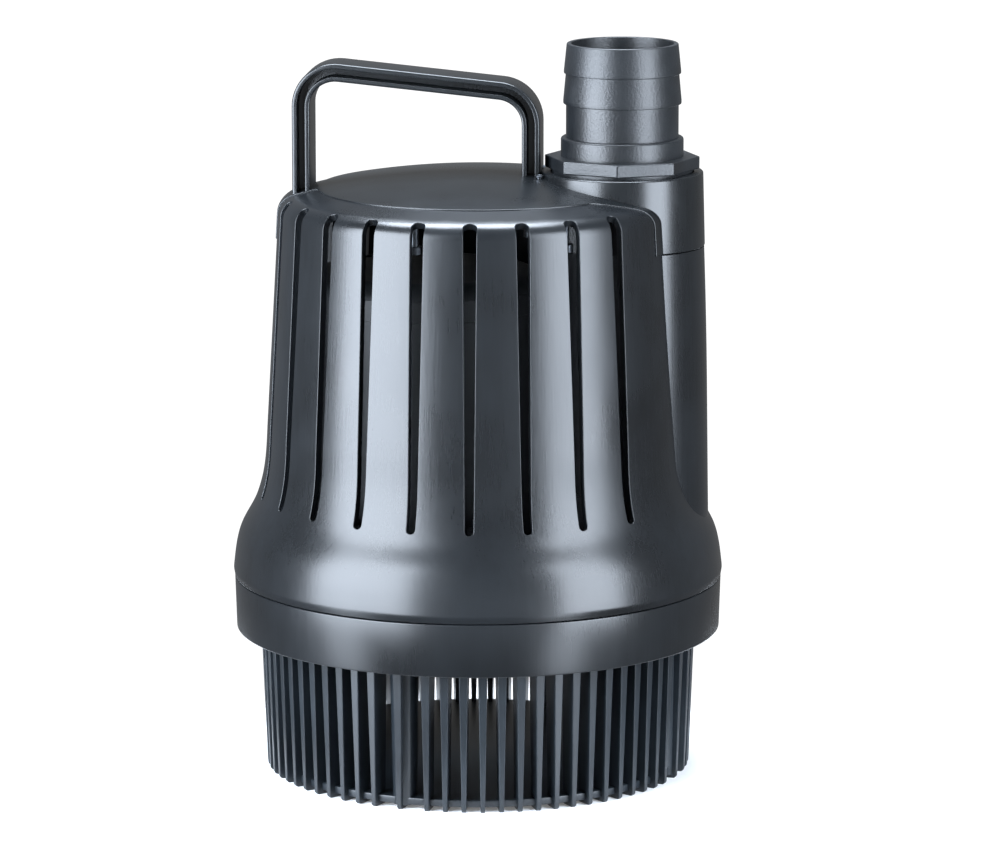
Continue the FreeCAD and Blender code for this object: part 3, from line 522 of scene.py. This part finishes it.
class Profile:
    """The shell's outline from the seam to the lid, measured along the surface."""

    def __init__(self, corners):
        self.points = [Vector(p) for p in corners]
        self.run = [0.0]
        for a, b in zip(self.points, self.points[1:]):
            self.run.append(self.run[-1] + (b - a).length)
        self.length = self.run[-1]

    def at(self, run, proud=0.0):
        """Radius and height at a distance along the outline, moved out by proud."""
        run = min(max(run, 0.0), self.length)
        i = 1
        while self.run[i] < run and i < len(self.run) - 1:
            i += 1
        a, b = self.points[i - 1], self.points[i]
        t = (run - self.run[i - 1]) / (self.run[i] - self.run[i - 1])
        out = Vector((b.y - a.y, a.x - b.x)).normalized()
        return a.lerp(b, t) + out * proud

    def to_height(self, z):
        """Distance along the outline at which it first reaches a height."""
        for i in range(1, len(self.points)):
            a, b = self.points[i - 1], self.points[i]
            if a.y <= z <= b.y:
                return self.run[i - 1] + (self.run[i] - self.run[i - 1]) * (z - a.y) / (b.y - a.y)
        return self.length

    def rows(self, start, end):
        """Distances for the rows of a mesh, closer together where the outline bends."""
        steps = 200
        weights = [0.0]
        for k in range(steps):
            a = start + (end - start) * k / steps
            b = start + (end - start) * (k + 1) / steps
            ahead = self.at(b + 0.5) - self.at(b)
            behind = self.at(a) - self.at(a - 0.5)
            turn = math.degrees(ahead.angle(behind, 0.0)) if ahead.length * behind.length else 0.0
            weights.append(weights[-1] + (b - a) / row_step + turn * (b - a) / row_turn)
        count = max(2, math.ceil(weights[-1]))
        found = []
        k = 0
        for n in range(count + 1):
            goal = weights[-1] * n / count
            while k < steps - 1 and weights[k + 1] < goal:
                k += 1
            share = (goal - weights[k]) / (weights[k + 1] - weights[k])
            found.append(start + (end - start) * (k + share) / steps)
        return found


shoulder_end = (shell_top_radius, lid_z + (lid_radius - shell_top_radius) * shoulder_slope)
corner_points = rounded([flare[-1], (*shoulder_corner, shoulder_round), shoulder_end], 14)
profile = Profile(curve_through(flare, (0.1, 1.0)) + corner_points[1:])


def on_shell(run, angle, proud=0.0):
    """A point of the shell at a distance along its outline and an angle in degrees."""
    point = profile.at(run, proud)
    turn = math.radians(angle)
    return Vector((point.x * math.cos(turn), point.x * math.sin(turn), point.y))


slot_low = profile.to_height(slot_z[0])
slot_high = profile.to_height(slot_z[1])
low_centre = slot_low + slot_half_widths[0]
high_centre = slot_high - slot_half_widths[1]
cap_room = (7.0, 3.5)      # mesh beyond the ends of a slot that runs round the end
across = 4                 # columns from a slot's middle to the edge of its sector
cap_rows = 4
layers = (0.0, 0.13, 0.3, 0.55, 0.78, 1.0)
rows_below = profile.rows(0.0, slot_low - cap_room[0])
rows_beside = profile.rows(low_centre, high_centre)
rows_above = profile.rows(slot_high + cap_room[1], profile.length)
half_pitch = slot_pitch / 2


def quads(made, grid):
    """Faces between neighbouring rows of points."""
    rows_of = [[made.verts.new(point) for point in row] for row in grid]
    for a, b in zip(rows_of, rows_of[1:]):
        for i in range(len(a) - 1):
            made.faces.new((a[i], a[i + 1], b[i + 1], b[i]))


def slot_half_width(run):
    share = (run - low_centre) / (high_centre - low_centre)
    return slot_half_widths[0] + (slot_half_widths[1] - slot_half_widths[0]) * share


def slotted_sector(made, middle):
    """One pitch of the shell with its slot: plain bands above and below, strips at the slot's
    sides, and a fan of faces round each of its ends."""
    columns = [half_pitch * (i / across - 1) for i in range(2 * across + 1)]
    for band_rows in (rows_below, rows_above):
        quads(made, [[on_shell(run, middle + c) for c in columns] for run in band_rows])
    for hand in (1, -1):
        strip = []
        for run in rows_beside:
            edge = math.degrees(slot_half_width(run) / profile.at(run).x)
            strip.append([on_shell(run, middle + hand * (edge + (half_pitch - edge) * share))
                          for share in layers])
        quads(made, strip)
    for centre, radius, edge_run, way in (
            (low_centre, slot_half_widths[0], slot_low - cap_room[0], -1),
            (high_centre, slot_half_widths[1], slot_high + cap_room[1], 1)):
        outer = [(-half_pitch, centre + (edge_run - centre) * k / cap_rows)
                 for k in range(cap_rows)]
        outer += [(c, edge_run) for c in columns]
        outer += [(half_pitch, centre + (edge_run - centre) * k / cap_rows)
                  for k in reversed(range(cap_rows))]
        fan = []
        for share in layers:
            row = []
            for k, (angle, run) in enumerate(outer):
                turn = math.pi * k / (len(outer) - 1)
                out = math.radians(angle) * profile.at(run).x
                x = -radius * math.cos(turn) * (1 - share) + out * share
                s = (centre + way * radius * math.sin(turn)) * (1 - share) + run * share
                row.append(on_shell(s, middle + math.degrees(x / profile.at(s).x)))
            fan.append(row)
        quads(made, fan)


def column_radius(z):
    (z0, r0), (z1, r1), (z2, r2) = column_radii
    if z < z1:
        return r0 + (r1 - r0) * (z - z0) / (z1 - z0)
    share = (z - z1) / (z2 - z1)
    return r1 + (r2 - r1) * (0.6 * share + 0.4 * share * share)


def plain_sector(made, start, end, step=2.0):
    """A stretch of shell with no slots, with the rows of the slotted stretches beside it."""
    runs = list(rows_below)
    runs += [rows_below[-1] + (low_centre - rows_below[-1]) * (k + 1) / cap_rows
             for k in range(cap_rows)]
    runs += rows_beside[1:]
    runs += [high_centre + (rows_above[0] - high_centre) * (k + 1) / cap_rows
             for k in range(cap_rows)]
    runs += rows_above[1:]
    count = round((end - start) / step)
    quads(made, [[on_shell(run, start + (end - start) * i / count) for i in range(count + 1)]
                 for run in runs])


made = bmesh.new()
for i in range(slots_per_side):
    slotted_sector(made, slot_first + i * slot_pitch)
    slotted_sector(made, -slot_first - i * slot_pitch)
last_edge = slot_first + (slots_per_side - 1) * slot_pitch + half_pitch
plain_sector(made, half_pitch - slot_first, slot_first - half_pitch)
plain_sector(made, last_edge, 360 - last_edge)
bmesh.ops.remove_doubles(made, verts=made.verts, dist=0.01)


def within_hole(face):
    """True where the cable's grommet passes, and behind the riser's fairing."""
    middle = face.calc_center_median()
    if middle.y > 0 and math.hypot(middle.x - grommet_x, middle.z - grommet_z) < grommet_hole:
        return True
    low, high = behind_fairing
    beside = math.hypot(middle.x - outlet_x, middle.y)
    return low < middle.z < high and beside < column_radius(middle.z) - 2 * wall


bmesh.ops.delete(made, geom=[f for f in made.faces if within_hole(f)], context="FACES")
fairing = []
fairing_columns = 20
fairing_rows = 48
fairing_foot = 84.5
for k in range(fairing_rows + 1):
    z = fairing_foot + (column_top - fairing_foot) * k / fairing_rows
    radius = column_radius(z)
    shell_radius = profile.at(profile.to_height(z)).x - column_sunk
    foot = (shell_radius ** 2 - outlet_x ** 2 - radius ** 2) / (2 * outlet_x * radius)
    reach = math.acos(min(1.0, foot))
    turns = [reach * (i / fairing_columns * 2 - 1) for i in range(fairing_columns + 1)]
    fairing.append([Vector((outlet_x + radius * math.cos(t), radius * math.sin(t), z))
                    for t in turns])
quads(made, fairing)
bmesh.ops.remove_doubles(made, verts=made.verts, dist=0.01)
outer_shell = mesh_object("slotted_shell", made, casing_plastic, 180.0)
thick = outer_shell.modifiers.new("wall", "SOLIDIFY")
thick.thickness = wall * MM
thick.offset = -1.0
settle(outer_shell)
round_edges(outer_shell, shell_edge_round, 3, 50.0)
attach(outer_shell, "pump_body")
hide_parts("outer_shell")


# --- motor, volute and riser ----------------------------------------------------------------
# What works inside: an epoxy-sealed induction motor in a black housing, the volute under it, and
# the riser beside it. These are the drawn solids, each in the finish of its real material.
# Their plastics are plain mouldings with a dull skin; the grain is drawn at 1 mm to be seen.
inner_finishes = {
    "inner_plastic": ("moulded black nylon", "0d0f11", "15181a", 0.5),
    "volute_plastic": ("moulded charcoal polypropylene", "17191b", "212427", 0.45),
    "impeller_plastic": ("moulded grey acetal", "3a3d40", "484b4e", 0.4),
    "washer_plastic": ("machined white acetal", "c9c7bf", "dedcd4", 0.35),
    "capacitor_plastic": ("filled grey polyester", "50565a", "5f666a", 0.5),
    "terminal_plastic": ("moulded cream nylon", "b9b19c", "cbc4b0", 0.45),
    "seal_rubber": ("moulded black nitrile rubber", "0b0c0c", "131414", 0.62),
    "bush_ceramic": ("ground white alumina", "cfcbc0", "e3e0d6", 0.25),
}
finishes = {"screw_steel": screw_steel, "casing_plastic": casing_plastic}
for slot_name, (label, dark, light, roughness) in inner_finishes.items():
    finishes[slot_name] = moulded_plastic(label, dark, light, roughness, 1.0, 0.012, lobes=12.0)
# Ground shaft: bright, with fine rings round it. Drawn can: bright, with lines along it.
finishes["shaft_steel"] = metal("ground stainless steel", "c3c4c6", 0.18, 0.05, 0.5,
                                (0.1, 0.1, 1), 0.002)
finishes["can_steel"] = metal("deep-drawn stainless steel", "b6b8bb", 0.25, 0.07, 0.8,
                              (1, 1, 0.05), 0.004)
# Stacked sheets 0.5 mm thick, varnished: the layers show as level lines, dull and grey-blue.
finishes["lamination_steel"] = metal("stacked electrical steel", "6d7177", 0.45, 0.1, 0.5,
                                     (0.02, 0.02, 1), 0.02)
finishes["cage_aluminium"] = metal("die-cast aluminium", "a9abae", 0.42, 0.08, 0.7,
                                   (1, 1, 1), 0.01)
# Enamelled wire 0.5 mm thick, wound up and down the stack: red-brown, with lines along it.
finishes["copper"] = metal("enamelled copper wire", "a6542c", 0.35, 0.08, 0.5,
                           (1, 1, 0.06), 0.03)
slot_of_node = {part["node"]: part["material_slot"] for part in frame["record"]["subparts"]}
for node_name, item in frame["nodes"].items():
    finish = finishes.get(slot_of_node[node_name])
    if finish is not None:
        for slot_index in range(len(item.material_slots)):
            item.material_slots[slot_index].material = finish


# --- top cover ------------------------------------------------------------------------------
# The domed lid, one moulding with the tongue under the handle, the tongues that lap over the
# shell beside the outlet, and the sleeve that the hose tail screws into. It lies a hair proud.
proud = 0.4
dome_top = 205.95
cover_thickness = 1.6
cover_edge_round = 0.28
handle_tongue_half = 10.4
handle_tongue_foot = 183.0
outlet_tongue_angles = (40.2, 24.4)       # at the lid's edge, and down the wall
outlet_tongue_corner = (62.2, 28.2)
outlet_tongue_foot = 181.5
sleeve_radii = (28.2, 27.5)
sleeve_z = (181.5, 206.46)
sleeve_bore = 24.3
sleeve_edge_round = 0.7

# The same black ABS, from a mould with a finer polish: a little greyer and duller than the shell.
cover_plastic = moulded_plastic("satin charcoal ABS", "0b0d0f", "141719", 0.29, 0.8, 0.01,
                                drawn=0.02)


def crown(radius):
    """Height of the lid's dome, which meets the shoulder's slope at the lid's edge."""
    edge = profile.at(lid_run, proud).y
    return edge + (dome_top - edge) * (1 - (radius / lid_radius) ** 2)


lid_run = profile.length
while profile.at(lid_run, proud).x < lid_radius:
    lid_run -= 0.02


def outlet_edge(radius):
    """Half angle of the outlet tongue at a radius: a straight edge, then one up the wall."""
    start = math.radians(outlet_tongue_angles[0])
    a = Vector((lid_radius * math.cos(start), lid_radius * math.sin(start)))
    b = Vector(outlet_tongue_corner)
    if radius >= b.length:
        return outlet_tongue_angles[1]
    low, high = 0.0, 1.0
    for _ in range(30):
        share = (low + high) / 2
        if a.lerp(b, share).length < radius:
            low = share
        else:
            high = share
    point = a.lerp(b, low)
    return math.degrees(math.atan2(point.y, point.x))


handle_half_angle = math.degrees(math.asin(handle_tongue_half / lid_radius))
outlet_columns = 28
handle_columns = 10
side_columns = 44
outlet_shares = [i / outlet_columns * 2 - 1 for i in range(outlet_columns + 1)]
handle_offsets = [handle_tongue_half * (1 - i / handle_columns * 2)
                  for i in range(handle_columns + 1)]
start, end = outlet_tongue_angles[0], 180 - handle_half_angle
side_angles = [start + (end - start) * i / side_columns for i in range(1, side_columns)]
around = [share * start for share in outlet_shares] + side_angles
around += [180 - math.degrees(math.asin(y / lid_radius)) for y in handle_offsets]
around += [360 - angle for angle in reversed(side_angles)]
dome_radii = [4.0 * k for k in range(1, 13)] + [51.0, 53.0, 54.0, lid_radius]

made = bmesh.new()
rings = [[Vector((r * math.cos(math.radians(a)), r * math.sin(math.radians(a)), crown(r)))
          for a in around + around[:1]] for r in dome_radii]
quads(made, rings)
pole = made.verts.new((0, 0, crown(0)))
first_ring = [made.verts.new(point) for point in rings[0]]
for a, b in zip(first_ring, first_ring[1:]):
    made.faces.new((pole, a, b))
outlet_rows = [[on_shell(run, share * outlet_edge(profile.at(run, proud).x), proud)
                for share in outlet_shares]
               for run in reversed(profile.rows(profile.to_height(outlet_tongue_foot), lid_run))]
quads(made, outlet_rows)
handle_rows = []
for run in reversed(profile.rows(profile.to_height(handle_tongue_foot), lid_run)):
    point = profile.at(run, proud)
    handle_rows.append([Vector((-math.sqrt(point.x ** 2 - y * y), y, point.y))
                        for y in handle_offsets])
quads(made, handle_rows)
bmesh.ops.remove_doubles(made, verts=made.verts, dist=0.03)
lid = mesh_object("lid", made, cover_plastic, 180.0)
thick = lid.modifiers.new("thickness", "SOLIDIFY")
thick.thickness = cover_thickness * MM
thick.offset = -1.0
settle(lid)
round_edges(lid, cover_edge_round, 3, 50.0)
made = bmesh.new()
lathe(made, [(sleeve_bore, sleeve_z[0]), (sleeve_radii[0], sleeve_z[0], 0.25),
             (sleeve_radii[1], sleeve_z[1], sleeve_edge_round), (sleeve_bore, sleeve_z[1], 0.3)],
      outlet_x, 128, 5)
sleeve = mesh_object("sleeve", made, cover_plastic)
top_cover = joined("domed_cover", [lid, sleeve])
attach(top_cover, "pump_body")
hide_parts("top_cover")


# --- handle ---------------------------------------------------------------------------------
# A carrying handle of H section, bent over like a staple: moulded in ABS with a deep groove down
# both faces. Its feet stand in sockets in the lid, with a screw up into each from below.
handle_legs = (-59.3, 18.75)
handle_foot_z = 188.2
handle_bar_z = 240.85      # over the left leg, on the bar's centre line
handle_slope = -0.1
handle_bend = 11.7
bar_width = 6.1
bar_depth = 18.0
groove_width = 2.8
groove_web = 4.0
bar_round = 0.7
groove_round = 0.25


def sweep_tree():
    """Geometry tree: a section carried along the base path, which is rounded at its corners."""
    tree = bpy.data.node_groups.new("section along a path", "GeometryNodeTree")
    sockets = (("Geometry", "NodeSocketGeometry"), ("Section", "NodeSocketObject"),
               ("Bend Radius", "NodeSocketFloat"), ("Bend Steps", "NodeSocketInt"),
               ("Material", "NodeSocketMaterial"))
    for label, kind in sockets:
        tree.interface.new_socket(label, in_out="INPUT", socket_type=kind)
    tree.interface.new_socket("Geometry", in_out="OUTPUT", socket_type="NodeSocketGeometry")
    given = add(tree, "NodeGroupInput").outputs
    line = add(tree, "GeometryNodeMeshToCurve", {"Mesh": given["Geometry"]})
    bent = add(tree, "GeometryNodeFilletCurve", {"Curve": line.outputs[0],
                                                 "Radius": given["Bend Radius"],
                                                 "Count": given["Bend Steps"]}, mode="POLY")
    section = add(tree, "GeometryNodeObjectInfo", {"Object": given["Section"]})
    swept = add(tree, "GeometryNodeCurveToMesh", {"Curve": bent.outputs[0],
                                                  "Profile Curve": section.outputs["Geometry"],
                                                  "Fill Caps": True})
    solid = add(tree, "GeometryNodeRealizeInstances", {"Geometry": swept.outputs[0]})
    finished = add(tree, "GeometryNodeSetMaterial", {"Geometry": solid.outputs[0],
                                                     "Material": given["Material"]})
    add(tree, "NodeGroupOutput", {0: finished.outputs[0]})
    return tree


half_width, half_depth = bar_width / 2, bar_depth / 2
half_groove, half_web = groove_width / 2, groove_web / 2
quarter_section = [(half_groove, half_web, groove_round), (half_groove, half_depth, groove_round),
                   (half_width, half_depth, bar_round)]
corners = quarter_section + [(x, -y, r) for x, y, r in reversed(quarter_section)]
corners += [(-x, -y, r) for x, y, r in quarter_section]
corners += [(-x, y, r) for x, y, r in reversed(quarter_section)]
section_curve = bpy.data.curves.new("handle_section", "CURVE")
section_curve.dimensions = "2D"
section_curve.fill_mode = "NONE"
section_line = section_curve.splines.new("POLY")
section_points = rounded(corners, 4)
section_line.points.add(len(section_points) - 1)
for point, spot in zip(section_line.points, section_points):
    point.co = (spot.x * MM, spot.y * MM, 0, 1)
section_line.use_cyclic_u = True
handle_section = new_object("handle_section", section_curve)

left, right = handle_legs
path = [(left, handle_foot_z), (left, handle_bar_z),
        (right, handle_bar_z + handle_slope * (right - left)), (right, handle_foot_z)]
made = bmesh.new()
spots = [made.verts.new((x * MM, 0, z * MM)) for x, z in path]
for a, b in zip(spots, spots[1:]):
    made.edges.new((a, b))
path_mesh = bpy.data.meshes.new("carrying_handle")
made.to_mesh(path_mesh)
made.free()
handle = grow(new_object("carrying_handle", path_mesh), sweep_tree(), section=handle_section,
              bend_radius=handle_bend * MM, bend_steps=14, material=cover_plastic)
bpy.data.objects.remove(handle_section)
made = bmesh.new()
made.from_mesh(handle.data)
bmesh.ops.recalc_face_normals(made, faces=made.faces)
made.to_mesh(handle.data)
made.free()
handle.data.shade_smooth()
handle.data.set_sharp_from_angle(angle=math.radians(35))
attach(handle, "pump_body")
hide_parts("handle")


# --- leg screws -----------------------------------------------------------------------------
# A small steel screw in the lid at each corner of the leg beside the outlet, with a domed head.
leg_screw_spot = (21.9, 10.9)
leg_screw_z = (206.2, 198.2)
leg_screw_sizes = (0.85, 1.45, 0.9)
leg_screws = [pan_head_screw(f"leg_screw_{i}", screw_steel, leg_screw_spot[0],
                             hand * leg_screw_spot[1], *leg_screw_z, *leg_screw_sizes)
              for i, hand in enumerate((1, -1))]
leg_screw_pair = joined("leg_screw_pair", leg_screws)
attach(leg_screw_pair, "pump_body")
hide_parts("leg_screws")


# --- hose barb ------------------------------------------------------------------------------
# The threaded hose tail: an octagon for a spanner, a collar and a tail with two ridges that grip
# the hose. It is one moulding in acetal with a fine eroded skin, screwed down on a gasket.
barb_bore = 17.35
thread_radius = 23.9
stem_bottom = 191.6
octagon_radius = 26.3
octagon_z = (207.4, 211.65)
octagon_round = 0.45
collar_radius = 20.78
collar_top = 218.0
collar_chamfer = 0.8
tail_radius = 19.05
lower_ridge = (20.0, 229.43, 1.2)         # radius, height of its step, and width of its land
upper_ridge = (19.81, 239.68, 0.8)
tip = (18.86, 249.8)
ridge_round = 0.25

# Black acetal from a spark-eroded mould: dry and even, with grain of about 0.3 mm, drawn at
# 0.8 mm, which breaks the highlights into specks.
barb_plastic = moulded_plastic("spark-eroded black acetal", "0c0e10", "1a1d20", 0.38, 0.8, 0.1,
                               lobes=25.0)
made = bmesh.new()
lathe(made, [(barb_bore, stem_bottom), (thread_radius, stem_bottom, 0.4),
             (thread_radius, octagon_z[0] + 1.5), (collar_radius, octagon_z[0] + 1.5),
             (collar_radius, collar_top, collar_chamfer), (tail_radius, collar_top),
             (tail_radius, lower_ridge[1]), (lower_ridge[0], lower_ridge[1], ridge_round),
             (lower_ridge[0], lower_ridge[1] + lower_ridge[2], 0.4),
             (tail_radius + 0.1, upper_ridge[1]), (upper_ridge[0], upper_ridge[1], ridge_round),
             (upper_ridge[0], upper_ridge[1] + upper_ridge[2], 0.3), (tip[0], tip[1], 0.45),
             (barb_bore, tip[1], 0.35)], outlet_x, 128, 4)
tail = mesh_object("tail", made, barb_plastic, 28.0)
made = bmesh.new()
rims = []
for z in octagon_z:
    rims.append([made.verts.new((outlet_x + octagon_radius * math.cos(math.pi * k / 4),
                                 octagon_radius * math.sin(math.pi * k / 4), z))
                 for k in range(8)])
bore_rims = []
for z in octagon_z:
    bore_rims.append([made.verts.new((outlet_x + collar_radius * 0.97 * math.cos(math.pi * k / 4),
                                      collar_radius * 0.97 * math.sin(math.pi * k / 4), z))
                      for k in range(8)])
for k in range(8):
    made.faces.new((rims[0][k - 1], rims[0][k], rims[1][k], rims[1][k - 1]))
    made.faces.new((rims[1][k - 1], rims[1][k], bore_rims[1][k], bore_rims[1][k - 1]))
    made.faces.new((rims[0][k - 1], rims[0][k], bore_rims[0][k], bore_rims[0][k - 1]))
    made.faces.new((bore_rims[0][k - 1], bore_rims[0][k], bore_rims[1][k], bore_rims[1][k - 1]))
octagon = round_edges(mesh_object("octagon", made, barb_plastic, 30.0), octagon_round, 3, 30.0)
hose_barb = joined("hose_tail", [tail, octagon])
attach(hose_barb, "pump_body")
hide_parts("hose_barb")


# --- studio ---------------------------------------------------------------------------------
# A small white stand that fades out into white air, soft boxes at both sides and overhead, and a
# long lens a little above the pump, turned slightly towards the outlet's side.
camera_turn = 5.01
camera_rise = 10.93
camera_distance = 1800.9
camera_aim = (7.59, 117.65)               # along the camera's right, and up
camera_lens = 189.3
floor_radius = 125.0
floor_fade = 70.0                         # from here out the stand fades away


def from_camera(turn, rise, distance, height):
    """A place at an angle and distance from the pump's axis; turn is to the camera's right."""
    a = math.radians(camera_turn + turn)
    e = math.radians(rise)
    out = Vector((math.sin(a) * math.cos(e), -math.cos(a) * math.cos(e), math.sin(e)))
    return (out * distance + Vector((0, 0, height))) * MM


lens = bpy.data.cameras.new("camera")
lens.lens = camera_lens
lens.sensor_width = 36.0
lens.clip_end = 50.0
camera = new_object("camera", lens)
turn = math.radians(camera_turn)
shift = Vector((math.cos(turn), math.sin(turn), 0)) * camera_aim[0] * MM
camera.location = from_camera(0, camera_rise, camera_distance, camera_aim[1]) + shift
camera.rotation_euler = (math.radians(90 - camera_rise), 0, turn)
bpy.context.scene.camera = camera

# Matt white paint on board: chalky, a little uneven, and cut off softly at the stand's edge.
board, tree, shader = new_material("matt white paint", {"IOR": 1.45, "Roughness": 0.9})
place = add(tree, "ShaderNodeTexCoord").outputs["Object"]
uneven = add(tree, "ShaderNodeTexNoise", {"Vector": place, "Scale": 4.0, "Detail": 2.0})
tone = add(tree, "ShaderNodeMix", {0: uneven.outputs[0], 6: linear("f4f5f6"),
                                   7: linear("fafafb")}, data_type="RGBA")
away = add(tree, "ShaderNodeVectorMath", {0: place}, operation="LENGTH")
edge = add(tree, "ShaderNodeMapRange", {"Value": away.outputs["Value"], "From Min": floor_fade * MM,
                                        "From Max": floor_radius * MM, "To Min": 1.0,
                                        "To Max": 0.0}, interpolation_type="SMOOTHSTEP")
tree.links.new(tone.outputs[2], shader.inputs["Base Color"])
tree.links.new(edge.outputs[0], shader.inputs["Alpha"])
shader.inputs["Emission Color"].default_value = (1.0, 1.0, 1.0, 1.0)
shader.inputs["Emission Strength"].default_value = 0.15
made = bmesh.new()
bmesh.ops.create_circle(made, cap_ends=True, segments=96, radius=floor_radius)
floor = mesh_object("floor", made, board)


def soft_box(name, turn, rise, distance, width, height, glow, colour, centre=120.0):
    """A rectangular lamp that faces the pump; glow is how bright its face is."""
    lamp = bpy.data.lights.new(name, "AREA")
    lamp.shape = "RECTANGLE"
    lamp.size = width * MM
    lamp.size_y = height * MM
    lamp.energy = glow * math.pi * lamp.size * lamp.size_y
    lamp.color = linear(colour)[:3]
    item = new_object(name, lamp)
    item.location = from_camera(turn, rise, distance, centre)
    facing = Vector((0, 0, centre * MM)) - item.location
    item.rotation_euler = facing.to_track_quat("-Z", "Y").to_euler()
    return item


cool = "e2edfb"
# Two tall boxes light the front's two bands, each with a small one below for the ring; one hangs
# level over the shoulder, a dim one fills the front, and two stand behind.
soft_box("left_box", -53, 0, 520, 470, 500, 19.5, cool, 255.0)
soft_box("left_low_box", -61, 0, 520, 170, 200, 7.8, cool, -100.0)
soft_box("right_box", 51, 0, 520, 290, 500, 15.5, cool, 255.0)
soft_box("right_low_box", 39, 0, 520, 150, 200, 8.0, cool, -100.0)
top_box = soft_box("top_box", -135, 83.3, 604, 560, 300, 34.0, cool, 200.0)
top_box.rotation_euler = (0, 0, math.radians(camera_turn))
soft_box("front_box", 5, -5, 2000, 1400, 900, 0.35, cool)
soft_box("back_box", 180, 60, 900, 600, 300, 4.0, cool)
soft_box("back_low_box", 180, -30, 900, 1000, 200, 6.0, cool)
world = bpy.data.worlds.new("studio air")
world.use_nodes = True
air = world.node_tree.nodes["Background"]
seen = add(world.node_tree, "ShaderNodeLightPath").outputs["Is Camera Ray"]
level = add(world.node_tree, "ShaderNodeMapRange", {"Value": seen, "To Min": 0.22, "To Max": 1.1})
world.node_tree.links.new(level.outputs[0], air.inputs["Strength"])
air.inputs["Color"].default_value = (1.0, 1.0, 1.0, 1.0)
bpy.context.scene.world = world
bpy.context.scene.view_settings.view_transform = "Standard"
